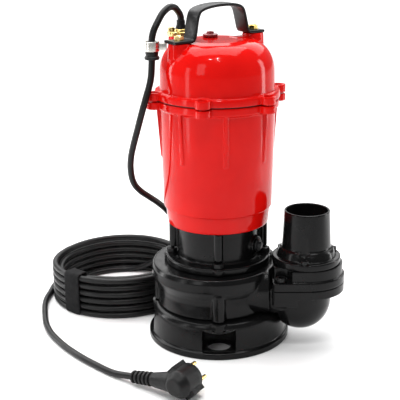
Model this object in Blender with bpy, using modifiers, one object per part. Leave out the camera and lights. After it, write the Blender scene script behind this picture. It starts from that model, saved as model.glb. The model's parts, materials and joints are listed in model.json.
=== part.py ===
"""Submersible sewage pump: stand, volute, oil chamber, motor, outlet elbow with check valve, handle, cable.

Sizes are in millimetres and degrees, and the helpers turn them into metres. Places are given from the
pump's shaft axis at the floor, +Z up, with the outlet towards +X.
"""

import math

import bmesh
import bpy
from mathutils import Euler, Matrix, Vector

MM = 0.001
GAP = 0.3
CORD_D = 8.1
FINE = 30
MEDIUM = 18
SMALL = 10

# Stand
RIM_R = 90.0
RIM_H = 7.5
STAND_H = 44.6
SKIRT_LOW_R = 86.5
SKIRT_TOP_R = 84.5
SKIRT_WALL = 5.0
STAND_SHOULDER_R = 6.5
STAND_FLOOR_T = 5.0
STAND_TOP_T = 6.6
STAND_TOP_HOLE_R = 62.0
STAND_FLOOR_HOLE_R = 24.0
FOOT_HOLE_R = 14.5
FOOT_HOLE_PLACE_R = 56.5
WINDOW_W = 41.0
WINDOW_LOW = 8.5
WINDOW_HIGH = 36.5
QUARTERS = (0.0, 90.0, 180.0, 270.0)
STAND_LUG_R = 10.5
STAND_LUG_PLACE_R = 75.0
STAND_LUG_LOW = 33.0

# Volute
VOLUTE_OFFSET_X = -3.5
VOLUTE_TOP = STAND_H + 55.1
VOLUTE_FOOT_R = 73.5
VOLUTE_BELLY_R = 81.5
VOLUTE_WALL = 6.5
VOLUTE_INLET_R = 56.0
VOLUTE_TOP_HOLE_R = 40.0
BOSS_R = 8.5
BOSS_PLACE_R = 74.0
BOSS_TOP = STAND_H + 32.4
NECK_R = 30.0
NECK_Y = -30.0
NECK_Z = STAND_H + 30.6
NECK_END_X = 62.5
BORE_R = 15.0
BORE_START = (36.0, NECK_Y, STAND_H + 22.4)

# Impeller end
SUCTION_EYE_R = 26.0
SUCTION_FLANGE_T = 4.6
IMPELLER_R = 49.0
IMPELLER_LOW = STAND_H + 9.4
IMPELLER_SHROUD_LOW = STAND_H + 34.4
IMPELLER_TOP = STAND_H + 38.4
IMPELLER_HUB_R = 14.0
VANE_T = 5.0
VANES = 4
CUTTER_R = 24.0
CUTTER_T = 4.0
CUTTER_ARM_W = 9.0
CUTTER_ARMS = 3
NUT_R = 9.5
NUT_T = 7.5

# Shaft and bearings
SHAFT_R = 8.0
SHAFT_STUB_R = 5.5
SHAFT_MOTOR_R = 10.0
SHAFT_STEP = VOLUTE_TOP + 19.3
SHAFT_LOW = STAND_H - 8.1
BEARING_R = 26.0
BEARING_SPLIT_LOW_R = 16.5
BEARING_SPLIT_HIGH_R = 19.5
BEARING_W = 14.0

# Oil chamber
CHAMBER_R = 51.5
CHAMBER_WALL = 5.0
CHAMBER_LOW = VOLUTE_TOP + GAP
CHAMBER_TOP = CHAMBER_LOW + 51.5
CHAMBER_FLANGE_R = CHAMBER_R + 14.5
CHAMBER_FLANGE_T = 9.0
CHAMBER_TOP_HOLE_R = 24.0
SEAL_R = 17.0
SEAL_SEAT_T = 5.0
SEAL_ROTATING_T = 11.0
PILLAR_R = 6.0
PILLAR_PLACE_R = CHAMBER_R + 4.5
EAR_R = 10.0
EAR_PLACE_R = CHAMBER_R + 7.3
CHAMBER_SCREW_HEAD_R = 6.8
CHAMBER_SCREW_HEAD_T = 7.0
CHAMBER_SCREW_R = 3.5
SCREW_HOLE_CLEARANCE = 0.4
OIL_PLUG_ANGLE = 330.0
OIL_PLUG_Z = CHAMBER_LOW + 27.0
OIL_PLUG_R = 8.0
OIL_PLUG_BOSS_R = 11.5

# Motor
SHIELD_LOW = CHAMBER_TOP + GAP
SHIELD_TOP = SHIELD_LOW + 21.2
SHIELD_LOW_R = 63.0
SHIELD_TOP_R = 64.9
SHIELD_FLOOR_T = 5.0
SHAFT_HOLE_R = 12.5
SPIGOT_T = 5.0
CASING_LOW_R = 67.5
CASING_TOP_R = 70.4
CASING_WALL = 4.8
CASING_LOW = SHIELD_TOP + GAP
CASING_H = 134.4
CASING_TOP = CASING_LOW + CASING_H
LOWER_BEARING_LOW = SHIELD_LOW + 6.7
UPPER_BEARING_LOW = CASING_TOP - 16.7
SHAFT_TOP = CASING_TOP + 1.3
FLANGE_R = 75.0
FLANGE_T = 9.2
RIBS = 8
RIB_FIRST_ANGLE = 8.0
RIB_W = 4.6
RIB_LOW = CASING_TOP - 71.7
LUGS = 6
LUG_FIRST_ANGLE = 18.0
LUG_R = 9.2
LUG_PLACE_R = 79.0
LUG_INSET = 0.2
GASKET_T = 0.8
COVER_LOW = CASING_TOP + GASKET_T + 2 * GAP
COVER_FLANGE_T = 8.4
COVER_WALL_R = 69.8
COVER_WALL = 4.0
COVER_TOP = COVER_LOW + 68.4
COVER_TERRACE_R = 50.0
COVER_WALL_TOP = COVER_LOW + 30.9
STATOR_LOW = CASING_LOW + 26.7
STATOR_HIGH = CASING_LOW + 92.7
STATOR_R = 62.2
ROTOR_R = 33.0
WINDING_R = 54.0
WINDING_H = 17.0
CAPACITOR_R = 16.0
CAPACITOR_H = 42.0
CAPACITOR_X = 24.0
CAPACITOR_LOW = COVER_LOW + 6.9
COVER_SCREW_HEAD_R = 5.4
COVER_SCREW_HEAD_T = 4.0
COVER_SCREW_R = 3.0
COVER_SCREW_RECESS = 5.0

# Top of the cover
FOOT_X = 44.0
FOOT_Y = 30.0
LEFT_FOOT_Z = COVER_TOP - 0.7
RIGHT_FOOT_Z = COVER_TOP + 4.3
HANDLE_BOSS_R = 13.0
VENT_X = -8.0
VENT_Y = 20.0
VENT_R = 9.3
VENT_T = 6.5
GLAND_X = -43.0
GLAND_Y = 11.0
GLAND_BOSS_TOP = COVER_TOP + 2.5
GLAND_PLATE_L = 33.0
GLAND_PLATE_W = 21.0
GLAND_PLATE_T = 5.6
GLAND_SCREW_SPACING = 23.0
GLAND_SCREW_HEAD_R = 4.2
GLAND_SCREW_HEAD_T = 4.8
GLAND_SCREW_R = 2.2
GLAND_BUSH_R = CORD_D / 2 + 2.55
GLAND_BUSH_CLEARANCE = 0.6
CORD_END_DIP = 0.35
HANDLE_W = 24.0
HANDLE_T = 3.4
HANDLE_LEFT_END = 1.24
HANDLE_RIGHT_END = 1.16
HANDLE_TOP = COVER_TOP + 42.5
HANDLE_HOLE_R = 4.3
HANDLE_NUT_R = 6.2
HANDLE_NUT_T = 6.0
HANDLE_STUD_R = 3.8

# Outlet
OUTLET_X = 109.0
OUTLET_Y = NECK_Y
ELBOW_X = OUTLET_X - 7.0
BOWL_R = 38.5
BOWL_Z = STAND_H + 12.9
BOWL_WALL = 5.0
ELBOW_INLET_R = 22.0
ELBOW_INLET_Z = STAND_H + 23.9
INLET_FLANGE_W = 56.0
INLET_FLANGE_LOW = STAND_H + 2.4
CAST_CLEARANCE = 2.0
PLATE_R = 48.0
PLATE_W = 88.0
PLATE_LEFT_X = 65.5
PLATE_LOW = STAND_H + 26.4
PLATE_SEAM = PLATE_LOW + 11.3
PLATE_T = 10.2
SEAT_R = 22.0
VALVE_BODY_INSET = 2.4
VALVE_BODY_TOP = PLATE_SEAM + 24.9
VALVE_CHAMBER_R = 36.0
VALVE_CHAMBER_LEFT_X = OUTLET_X - 33.5
VALVE_CHAMBER_TOP = VALVE_BODY_TOP - 4.7
VALVE_MOUTH_R = 27.5
TAIL_LOW = VALVE_BODY_TOP + GAP
TAIL_FLANGE_R = 42.5
TAIL_FLANGE_T = 8.5
TAIL_COLLAR_R = 33.5
TAIL_COLLAR_TOP = TAIL_LOW + 19.5
TAIL_FOOT_R = 30.4
TAIL_MOUTH_R = 28.0
TAIL_TOP = TAIL_LOW + 66.0
TAIL_BORE_R = 25.4
FLAP_R = 25.0
FLAP_T = 4.6
FLAP_HINGE_X = OUTLET_X - 29.0
FLAP_HINGE_RISE = 5.0
FLAP_PIN_R = 2.0
FLAP_PIN_L = 56.0
FLAP_KNUCKLE_R = 4.2
FLAP_KNUCKLE_L = 20.0
FLAP_X = OUTLET_X - 2.0
VALVE_BOLT_X = PLATE_LEFT_X + 10.5
VALVE_BOLT_Y = 35.0
VALVE_BOLT_R = 4.0
VALVE_BOLT_HEAD_R = 6.4
VALVE_BOLT_HEAD_T = 5.0

# Cable
COIL_X = -138.0
COIL_Y = 130.5
COIL_R = 97.5
COIL_INNER_R = 80.4
COIL_H = 56.5
TIE_ANGLE = 232.0
TIE_W = 26.0
TIE_T = 1.4
GROMMET_X = -76.0
GROMMET_Y = -27.0
GROMMET_LOW = COVER_TOP - 19.7
GROMMET_HIGH = COVER_TOP - 10.5
GROMMET_NECK_R = CORD_D / 2 + 2.35
GROMMET_R = GROMMET_NECK_R + 2.6
GROMMET_CLEARANCE = 0.7
CLAMP_LOW = COVER_TOP - 9.1
CLAMP_HIGH = COVER_TOP - 1.1
CLAMP_R = GROMMET_NECK_R + 2.6
CLAMP_T = 1.8
CLAMP_TONGUE_T = 2.0
DROP_ROUTE = (
    (-43.0, 11.0, 402.0),
    (-45.5, 8.0, 409.0),
    (-52.0, 1.0, 415.5),
    (-61.0, -10.0, 412.0),
    (-69.0, -19.5, 400.0),
    (-74.6, -25.6, 387.0),
    (-76.0, -27.0, 376.0),
    (-76.1, -27.1, 363.0),
    (-76.6, -28.0, 350.0),
    (-78.2, -31.0, 334.0),
    (-83.8, -38.6, 314.0),
    (-89.5, -38.8, 295.0),
    (-95.0, -34.0, 276.0),
    (-100.5, -29.0, 257.0),
    (-105.0, -23.0, 238.0),
    (-106.3, -16.0, 219.0),
    (-104.0, -7.0, 202.0),
    (-97.5, 5.0, 188.5),
    (-88.0, 20.0, 176.0),
    (-77.0, 38.0, 161.5),
    (-65.5, 56.0, 143.5),
    (-55.5, 75.0, 118.0),
    (-47.5, 95.0, 87.0),
    (-44.2, 112.0, 69.0),
    (-46.5, 134.0, 62.3),
)
LEAD_ROUTE = (
    (-239.8, 116.0, 4.1),
    (-241.0, 88.0, 4.1),
    (-234.5, 43.0, 4.1),
    (-223.0, -1.5, 4.1),
    (-202.0, -42.0, 4.1),
    (-173.5, -80.0, 4.1),
    (-147.0, -108.0, 4.1),
    (-123.5, -130.0, 4.8),
    (-108.4, -141.2, 7.6),
    (-100.0, -146.8, 9.2),
)

# Plug
PLUG_FRONT = (-32.0, -166.0, 19.8)
PLUG_HEADING = 57.0
PLUG_ROLL = -47.0
PLUG_R = 17.0
PLUG_L = 35.0
PLUG_GUIDE_W = 13.0
PLUG_GUIDE_L = 21.0
PLUG_GUIDE_T = 3.6
PLUG_PIN_R = 2.4
PLUG_PIN_L = 19.0
PLUG_PIN_SPACING = 19.0
PLUG_PIN_SOCKET = 6.0
PLUG_NECK_R = 14.0
PLUG_SLEEVE_R = 7.6
PLUG_SLEEVE_END_R = 6.2
PLUG_SLEEVE_CLEARANCE = 1.0

# Shaft axis, so that the floor under the middle of the object is the frame's origin.
PUMP_X = -(OUTLET_X + PLATE_R - RIM_R) / 2
PUMP_AT = Vector((PUMP_X, 0, 0)) * MM

COLOURS = {
    "red_paint": ((0.62, 0.012, 0.012, 1), 0.22, 0.0),
    "black_paint": ((0.018, 0.018, 0.019, 1), 0.32, 0.0),
    "black_steel": ((0.02, 0.02, 0.022, 1), 0.35, 0.2),
    "brass": ((0.78, 0.6, 0.2, 1), 0.25, 1.0),
    "zinc": ((0.62, 0.62, 0.6, 1), 0.3, 1.0),
    "steel": ((0.55, 0.55, 0.56, 1), 0.3, 1.0),
    "electric_steel": ((0.25, 0.26, 0.28, 1), 0.5, 1.0),
    "copper": ((0.72, 0.3, 0.15, 1), 0.35, 1.0),
    "rubber": ((0.02, 0.02, 0.021, 1), 0.55, 0.0),
    "ceramic": ((0.6, 0.58, 0.55, 1), 0.3, 0.0),
    "plastic": ((0.75, 0.75, 0.72, 1), 0.4, 0.0),
    "iron": ((0.09, 0.09, 0.095, 1), 0.55, 0.6),
}


def start_scene():
    for old in list(bpy.data.objects):
        bpy.data.objects.remove(old, do_unlink=True)
    parts = bpy.data.collections.new("sewage_pump")
    tools = bpy.data.collections.new("cutters")
    for group in (parts, tools):
        bpy.context.scene.collection.children.link(group)
    return parts, tools


PARTS, TOOLS = start_scene()


def material(name):
    found = bpy.data.materials.get(name)
    if found:
        return found
    colour, roughness, metallic = COLOURS[name]
    made = bpy.data.materials.new(name)
    made.use_nodes = True
    shader = made.node_tree.nodes["Principled BSDF"]
    shader.inputs["Base Color"].default_value = colour
    shader.inputs["Roughness"].default_value = roughness
    shader.inputs["Metallic"].default_value = metallic
    made.diffuse_color = colour
    return made


def at_axis(name, place=(0, 0, 0)):
    """Empty at a place given in millimetres from the shaft axis, for pieces that turn about it."""
    empty = bpy.data.objects.new(name, None)
    empty.location = PUMP_AT + Vector(place) * MM
    PARTS.objects.link(empty)
    return empty


PUMP = at_axis("pump_axis")


def add_object(name, mesh, slot, parent=PUMP):
    """Object of a part, or, with no material slot, a tool that is hidden in renders."""
    obj = bpy.data.objects.new(name, mesh)
    obj.parent = parent
    if slot:
        mesh.materials.append(material(slot))
        PARTS.objects.link(obj)
    else:
        obj.hide_render = True
        obj.display_type = "WIRE"
        TOOLS.objects.link(obj)
    return obj


def shade(mesh, angle=35):
    mesh.shade_smooth()
    mesh.set_sharp_from_angle(angle=math.radians(angle))


def aimed(axis):
    """Rotation that takes +Z to the axis."""
    return Vector((0, 0, 1)).rotation_difference(Vector(axis).normalized()).to_matrix().to_4x4()


def around(angle, radius, z=0.0):
    """Point at a radius and an angle in degrees about the shaft axis."""
    turn = math.radians(angle)
    return (radius * math.cos(turn), radius * math.sin(turn), z)


def arc(centre_r, centre_z, radius, first, last, steps=3, height=None):
    """Points of a circular or elliptical arc in a turned profile."""
    height = radius if height is None else height
    points = []
    for i in range(steps + 1):
        turn = math.radians(first + (last - first) * i / steps)
        points.append((centre_r + radius * math.cos(turn), centre_z + height * math.sin(turn)))
    return points


def turned(name, points, slot, steps=FINE, centre=(0, 0), frame=None, parent=PUMP):
    """Turned solid from (radius, height) points; a profile that leaves the axis is closed into a ring."""
    ring = points[0][0] > 0
    corners = points if ring else points + [(0, points[0][1])]
    area = 0.0
    for (r0, z0), (r1, z1) in zip(corners, corners[1:] + corners[:1]):
        area += r0 * z1 - r1 * z0
    points = points[::-1] if area > 0 else points
    mesh = bpy.data.meshes.new(name)
    edges = [(i, i + 1) for i in range(len(points) - 1)]
    if ring:
        edges.append((len(points) - 1, 0))
    mesh.from_pydata([(r * MM, 0, z * MM) for r, z in points], edges, [])
    obj = add_object(name, mesh, slot, parent)
    obj.matrix_local = frame or Matrix.Translation((centre[0] * MM, centre[1] * MM, 0))
    screw = obj.modifiers.new("turn", "SCREW")
    screw.axis = "Z"
    screw.steps = steps
    screw.render_steps = steps
    screw.use_merge_vertices = True
    screw.merge_threshold = 0.00001
    screw.use_smooth_shade = True
    return obj


def placed(base, axis=(0, 0, 1)):
    """Frame of a turned piece whose own +Z lies along an axis from a base point in millimetres."""
    return Matrix.Translation(Vector(base) * MM) @ aimed(axis)


def cylinder(
    name, radius, length, base, slot=None, axis=(0, 0, 1), steps=MEDIUM, top_radius=None, parent=PUMP
):
    """Cylinder or cone from the middle of its base."""
    mesh = bpy.data.meshes.new(name)
    bm = bmesh.new()
    bmesh.ops.create_cone(
        bm,
        cap_ends=True,
        segments=steps,
        radius1=radius * MM,
        radius2=(radius if top_radius is None else top_radius) * MM,
        depth=length * MM,
        matrix=Matrix.Translation((0, 0, length * MM / 2)),
    )
    bm.to_mesh(mesh)
    bm.free()
    shade(mesh)
    obj = add_object(name, mesh, slot, parent)
    obj.matrix_local = placed(base, axis)
    return obj


def box(name, low, high, slot=None, turn=0.0, parent=PUMP):
    """Box between two corners, turned about the shaft axis."""
    mesh = bpy.data.meshes.new(name)
    bm = bmesh.new()
    size = [(b - a) * MM for a, b in zip(low, high)]
    middle = [(a + b) * MM / 2 for a, b in zip(low, high)]
    bmesh.ops.create_cube(bm, size=1, matrix=Matrix.Translation(middle) @ Matrix.Diagonal((*size, 1)))
    bm.to_mesh(mesh)
    bm.free()
    obj = add_object(name, mesh, slot, parent)
    obj.rotation_euler = Euler((0, 0, math.radians(turn)))
    return obj


def prism(name, outline, low, high, slot=None, frame=None, parent=PUMP):
    """Flat outline in (x, y), given counter-clockwise, pulled up from one height to another."""
    mesh = bpy.data.meshes.new(name)
    bm = bmesh.new()
    corners = [bm.verts.new((x * MM, y * MM, low * MM)) for x, y in outline]
    face = bm.faces.new(corners)
    pulled = bmesh.ops.extrude_face_region(bm, geom=[face])
    top = [v for v in pulled["geom"] if isinstance(v, bmesh.types.BMVert)]
    bmesh.ops.translate(bm, verts=top, vec=(0, 0, (high - low) * MM))
    bmesh.ops.recalc_face_normals(bm, faces=bm.faces)
    bm.to_mesh(mesh)
    bm.free()
    shade(mesh)
    obj = add_object(name, mesh, slot, parent)
    obj.matrix_local = frame or Matrix()
    return obj


def boolean(obj, tool, operation):
    step = obj.modifiers.new(tool.name, "BOOLEAN")
    step.operation = operation
    step.object = tool
    step.solver = "EXACT"
    return obj


def cut(obj, tool):
    return boolean(obj, tool, "DIFFERENCE")


def join(obj, tool):
    return boolean(obj, tool, "UNION")


def tube(name, route, radius, slot, resolution=2, spacing=2.6):
    """Round tube along a smooth curve through the route's points."""
    points = smooth_route([Vector(p) for p in route], radius * 2 * spacing)
    curve = bpy.data.curves.new(name, "CURVE")
    curve.dimensions = "3D"
    curve.bevel_depth = radius * MM
    curve.bevel_resolution = resolution
    curve.use_fill_caps = True
    spline = curve.splines.new("POLY")
    spline.points.add(len(points) - 1)
    for point, place in zip(spline.points, points):
        point.co = (*(place * MM), 1)
    return add_object(name, curve, slot)


def smooth_route(points, spacing):
    """Points a set distance apart along the Catmull-Rom curve through the given ones."""
    ends = [points[0] * 2 - points[1], *points, points[-1] * 2 - points[-2]]
    fine = []
    for p0, p1, p2, p3 in zip(ends, ends[1:], ends[2:], ends[3:]):
        for i in range(24):
            t = i / 24
            bend = (p0 * 2 - p1 * 5 + p2 * 4 - p3) * t**2
            twist = (p1 * 3 - p0 - p2 * 3 + p3) * t**3
            fine.append((p1 * 2 + (p2 - p0) * t + bend + twist) / 2)
    fine.append(points[-1])
    lengths = [0.0]
    for a, b in zip(fine, fine[1:]):
        lengths.append(lengths[-1] + (b - a).length)
    count = max(2, round(lengths[-1] / spacing))
    found = []
    at = 0
    for i in range(count + 1):
        want = lengths[-1] * i / count
        while at < len(fine) - 2 and lengths[at + 1] < want:
            at += 1
        share = (want - lengths[at]) / max(lengths[at + 1] - lengths[at], 1e-9)
        found.append(fine[at].lerp(fine[at + 1], share))
    return found


def lug_angles():
    return [LUG_FIRST_ANGLE + 360 / LUGS * i for i in range(LUGS)]


def base_stand():
    wall_low = SKIRT_LOW_R - SKIRT_WALL
    wall_top = SKIRT_TOP_R - SKIRT_WALL
    shoulder = arc(
        SKIRT_TOP_R - STAND_SHOULDER_R, STAND_H - STAND_SHOULDER_R, STAND_SHOULDER_R, 90, 0
    )
    profile = [(STAND_TOP_HOLE_R, STAND_H), *shoulder]
    profile += [(SKIRT_LOW_R, RIM_H + 1), (RIM_R - 0.8, RIM_H), (RIM_R, RIM_H - 1)]
    profile += [(RIM_R, 0), (STAND_FLOOR_HOLE_R, 0)]
    profile += [(STAND_FLOOR_HOLE_R, STAND_FLOOR_T), (wall_low, STAND_FLOOR_T)]
    profile += [(wall_top, STAND_H - STAND_TOP_T), (STAND_TOP_HOLE_R, STAND_H - STAND_TOP_T)]
    stand = turned("base_stand", profile, "black_paint")
    for i, angle in enumerate(QUARTERS):
        hole = cylinder(f"foot_hole_{i}", FOOT_HOLE_R, 20, around(angle, FOOT_HOLE_PLACE_R, -5))
        cut(stand, hole)
    for i, angle in enumerate(QUARTERS[1:]):
        window = box(
            f"window_{i}",
            (SKIRT_TOP_R - SKIRT_WALL - 6, -WINDOW_W / 2, WINDOW_LOW),
            (RIM_R + 5, WINDOW_W / 2, WINDOW_HIGH),
            turn=angle,
        )
        cut(stand, window)
        lug = cylinder(
            f"stand_lug_{i}",
            STAND_LUG_R,
            STAND_H - STAND_LUG_LOW,
            around(angle, STAND_LUG_PLACE_R, STAND_LUG_LOW),
            steps=14,
        )
        join(stand, lug)
    return stand


def suction_plate():
    low = STAND_H - SUCTION_FLANGE_T
    joint = STAND_H
    spigot_r = VOLUTE_INLET_R - 2 * GAP
    flange_r = STAND_TOP_HOLE_R - GAP
    top = joint + GAP + 7
    profile = [(SUCTION_EYE_R, top), (spigot_r, top), (spigot_r, joint), (flange_r, joint)]
    profile += [(flange_r, low), (SUCTION_EYE_R + 3, low), (SUCTION_EYE_R, low + 3)]
    return turned("suction_plate", profile, "iron")


def volute_casing():
    low = STAND_H + GAP
    belly_low = VOLUTE_TOP - 17
    floor = low + 7
    inner_foot = VOLUTE_FOOT_R - VOLUTE_WALL
    inner_belly = VOLUTE_BELLY_R - VOLUTE_WALL
    roof = VOLUTE_TOP - VOLUTE_WALL - 1
    profile = [(0, VOLUTE_TOP), (VOLUTE_BELLY_R - 3.2, VOLUTE_TOP)]
    profile += [(VOLUTE_BELLY_R, VOLUTE_TOP - 5), (VOLUTE_BELLY_R, belly_low)]
    profile += [(VOLUTE_BELLY_R - 1.4, belly_low - 4), (VOLUTE_FOOT_R + 1.6, belly_low - 12)]
    profile += [(VOLUTE_FOOT_R, belly_low - 19), (VOLUTE_FOOT_R, low), (0, low)]
    casing = turned("volute_casing", profile, "black_paint", centre=(VOLUTE_OFFSET_X, 0))
    for i, angle in enumerate(QUARTERS[1:]):
        dome = [(0, BOSS_TOP + BOSS_R), *arc(0, BOSS_TOP, BOSS_R, 60, 0, 2)]
        outline = [*dome, (BOSS_R, low + LUG_INSET), (0, low + LUG_INSET)]
        place = around(angle, BOSS_PLACE_R)[:2]
        join(casing, turned(f"volute_boss_{i}", outline, None, steps=14, centre=place))
    join(casing, cylinder("neck", NECK_R, NECK_END_X - 30, (30, NECK_Y, NECK_Z), axis=(1, 0, 0), steps=28))
    cut(casing, box("outlet_face", (NECK_END_X, -100, 0), (NECK_END_X + 60, 100, 150)))
    cut(casing, box("neck_top", (-20, -100, VOLUTE_TOP), (NECK_END_X + 10, 100, VOLUTE_TOP + 30)))
    hollow = [(0, roof), (inner_belly, roof), (inner_belly, belly_low - 4)]
    hollow += [(inner_foot, belly_low - 20), (inner_foot, floor), (0, floor)]
    hollow = turned("volute_hollow", hollow, None, centre=(VOLUTE_OFFSET_X, 0))
    cut(hollow, box("tongue_wall", (NECK_END_X - 9, -100, 0), (NECK_END_X + 60, 100, 150)))
    cut(casing, hollow)
    cut(casing, cylinder("neck_bore", BORE_R, 60, BORE_START, axis=bore_run(), steps=MEDIUM))
    cut(casing, cylinder("inlet", VOLUTE_INLET_R, floor + 5 - (low - 5), (0, 0, low - 5), steps=FINE))
    cut(casing, cylinder("roof_hole", VOLUTE_TOP_HOLE_R, 20, (0, 0, roof - 5), steps=MEDIUM))
    for i, angle in enumerate(QUARTERS):
        hole = cylinder(
            f"chamber_screw_hole_{i}",
            CHAMBER_SCREW_R + SCREW_HOLE_CLEARANCE,
            20,
            around(angle, EAR_PLACE_R, VOLUTE_TOP - 12),
            steps=SMALL,
        )
        cut(casing, hole)
    return casing


def bore_run():
    """Direction of the passage from the volute down into the elbow's bowl."""
    return Vector((ELBOW_X, OUTLET_Y, BOWL_Z)) - Vector(BORE_START)


def impeller(parent):
    bore = SHAFT_R + GAP
    profile = [(bore, IMPELLER_TOP + 4), (IMPELLER_HUB_R, IMPELLER_TOP + 4)]
    profile += [(IMPELLER_HUB_R, IMPELLER_TOP), (IMPELLER_R, IMPELLER_TOP)]
    profile += [(IMPELLER_R, IMPELLER_SHROUD_LOW), (IMPELLER_HUB_R + 2, IMPELLER_SHROUD_LOW)]
    profile += [(IMPELLER_HUB_R, IMPELLER_LOW), (bore, IMPELLER_LOW)]
    wheel = turned("impeller", profile, "iron", steps=MEDIUM, parent=parent)
    for i in range(VANES):
        vane = box(
            f"vane_{i}",
            (IMPELLER_HUB_R - 3, 4, IMPELLER_LOW),
            (IMPELLER_R - 2, 4 + VANE_T, IMPELLER_SHROUD_LOW + 2),
            turn=360 / VANES * i,
            parent=parent,
        )
        join(wheel, vane)
    return wheel


def suction_cutter(parent):
    top = IMPELLER_LOW - GAP
    low = top - CUTTER_T
    bore = SHAFT_STUB_R + GAP
    profile = [(bore, top), (NUT_R + 3, top), (NUT_R + 3, low), (bore, low)]
    cutter = turned("suction_cutter", profile, "steel", steps=14, parent=parent)
    for i in range(CUTTER_ARMS):
        arm = box(
            f"cutter_arm_{i}",
            (NUT_R, -CUTTER_ARM_W / 2, low),
            (CUTTER_R, CUTTER_ARM_W / 2, top),
            turn=360 / CUTTER_ARMS * i + 20,
            parent=parent,
        )
        join(cutter, arm)
    nut_top = low - GAP
    nut = cylinder(
        "impeller_nut", NUT_R, NUT_T, (0, 0, nut_top - NUT_T), "steel", steps=6, parent=parent
    )
    cut(nut, cylinder("nut_bore", bore, NUT_T * 2, (0, 0, nut_top - NUT_T * 1.5), steps=SMALL, parent=parent))
    return cutter


def shaft(parent):
    stub_top = IMPELLER_LOW
    profile = [(0, SHAFT_TOP), (SHAFT_MOTOR_R - 1, SHAFT_TOP), (SHAFT_MOTOR_R, SHAFT_TOP - 1)]
    profile += [(SHAFT_MOTOR_R, SHAFT_STEP), (SHAFT_R, SHAFT_STEP), (SHAFT_R, stub_top)]
    profile += [(SHAFT_STUB_R, stub_top), (SHAFT_STUB_R, SHAFT_LOW), (0, SHAFT_LOW)]
    return turned("shaft", profile, "steel", steps=14, parent=parent)


def shaft_seal(parent):
    seat_low = CHAMBER_LOW + 0.5
    seat_top = seat_low + SEAL_SEAT_T
    inner = SHAFT_R + GAP
    seat = [(SHAFT_R + 1.5, seat_top), (SEAL_R - GAP, seat_top), (SEAL_R - GAP, seat_low)]
    turned("seal_seat", [*seat, (SHAFT_R + 1.5, seat_low)], "ceramic", steps=MEDIUM)
    low = seat_top + GAP
    ring = [(inner, low + SEAL_ROTATING_T), (SEAL_R - 3, low + SEAL_ROTATING_T)]
    ring += [(SEAL_R - 3, low), (inner, low)]
    return turned("seal_rotating", ring, "steel", steps=MEDIUM, parent=parent)


def oil_chamber():
    low = CHAMBER_LOW
    top = CHAMBER_TOP
    flange = low + CHAMBER_FLANGE_T
    inner = CHAMBER_R - CHAMBER_WALL
    profile = [(CHAMBER_TOP_HOLE_R, top), (CHAMBER_R, top), (CHAMBER_R, flange)]
    profile += [(CHAMBER_FLANGE_R - 1, flange), (CHAMBER_FLANGE_R, flange - 1)]
    profile += [(CHAMBER_FLANGE_R, low), (SEAL_R, low), (SEAL_R, flange), (inner, flange)]
    profile += [(inner, top - 6), (CHAMBER_TOP_HOLE_R, top - 6)]
    chamber = turned("oil_chamber", profile, "black_paint")
    pillar_low = flange + CHAMBER_SCREW_HEAD_T + 1.2
    for i, angle in enumerate(QUARTERS):
        foot = around(angle, EAR_PLACE_R, low + LUG_INSET)
        ear = cylinder(f"ear_{i}", EAR_R, CHAMBER_FLANGE_T - 2 * LUG_INSET, foot, steps=14)
        join(chamber, ear)
        pillar = cylinder(
            f"pillar_{i}", PILLAR_R, top - pillar_low, around(angle, PILLAR_PLACE_R, pillar_low), steps=14
        )
        join(chamber, pillar)
        hole = cylinder(
            f"flange_hole_{i}",
            CHAMBER_SCREW_R + SCREW_HOLE_CLEARANCE,
            CHAMBER_FLANGE_T + 1.4,
            around(angle, EAR_PLACE_R, low - 1),
            steps=SMALL,
        )
        cut(chamber, hole)
        chamber_screw(i + 1, angle, flange)
    heading = around(OIL_PLUG_ANGLE, 1)
    boss = cylinder(
        "oil_plug_boss",
        OIL_PLUG_BOSS_R,
        9,
        around(OIL_PLUG_ANGLE, CHAMBER_R - 5, OIL_PLUG_Z),
        axis=heading,
        steps=14,
    )
    join(chamber, boss)
    tapped = cylinder(
        "oil_plug_hole",
        OIL_PLUG_R - 2 + 2 * GAP,
        20,
        around(OIL_PLUG_ANGLE, CHAMBER_R - 14, OIL_PLUG_Z),
        axis=heading,
        steps=SMALL,
    )
    return cut(chamber, tapped)


def chamber_screw(number, angle, flange):
    seat = flange + GAP
    top = seat + CHAMBER_SCREW_HEAD_T
    end = VOLUTE_TOP - 6
    profile = [(0, top), (CHAMBER_SCREW_HEAD_R - 1, top), (CHAMBER_SCREW_HEAD_R, top - 1)]
    profile += [(CHAMBER_SCREW_HEAD_R, seat), (CHAMBER_SCREW_R, seat), (CHAMBER_SCREW_R, end), (0, end)]
    place = around(angle, EAR_PLACE_R)[:2]
    return turned(f"chamber_screw_{number}", profile, "black_steel", steps=SMALL, centre=place)


def oil_plug():
    """Threaded plug with a round rim and a hexagon head, its own +Z pointing out of the chamber."""
    face = CHAMBER_R - 5 + 9 + GAP
    frame = placed(around(OIL_PLUG_ANGLE, face, OIL_PLUG_Z), around(OIL_PLUG_ANGLE, 1))
    profile = [(0, 5), (4.2, 5), (4.6, 4.6), (4.6, 2.5), (OIL_PLUG_R, 2.5), (OIL_PLUG_R, 0)]
    profile += [(OIL_PLUG_R - 2, 0), (OIL_PLUG_R - 2, -9), (0, -9)]
    return turned("oil_plug", profile, "black_steel", steps=10, frame=frame)


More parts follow.
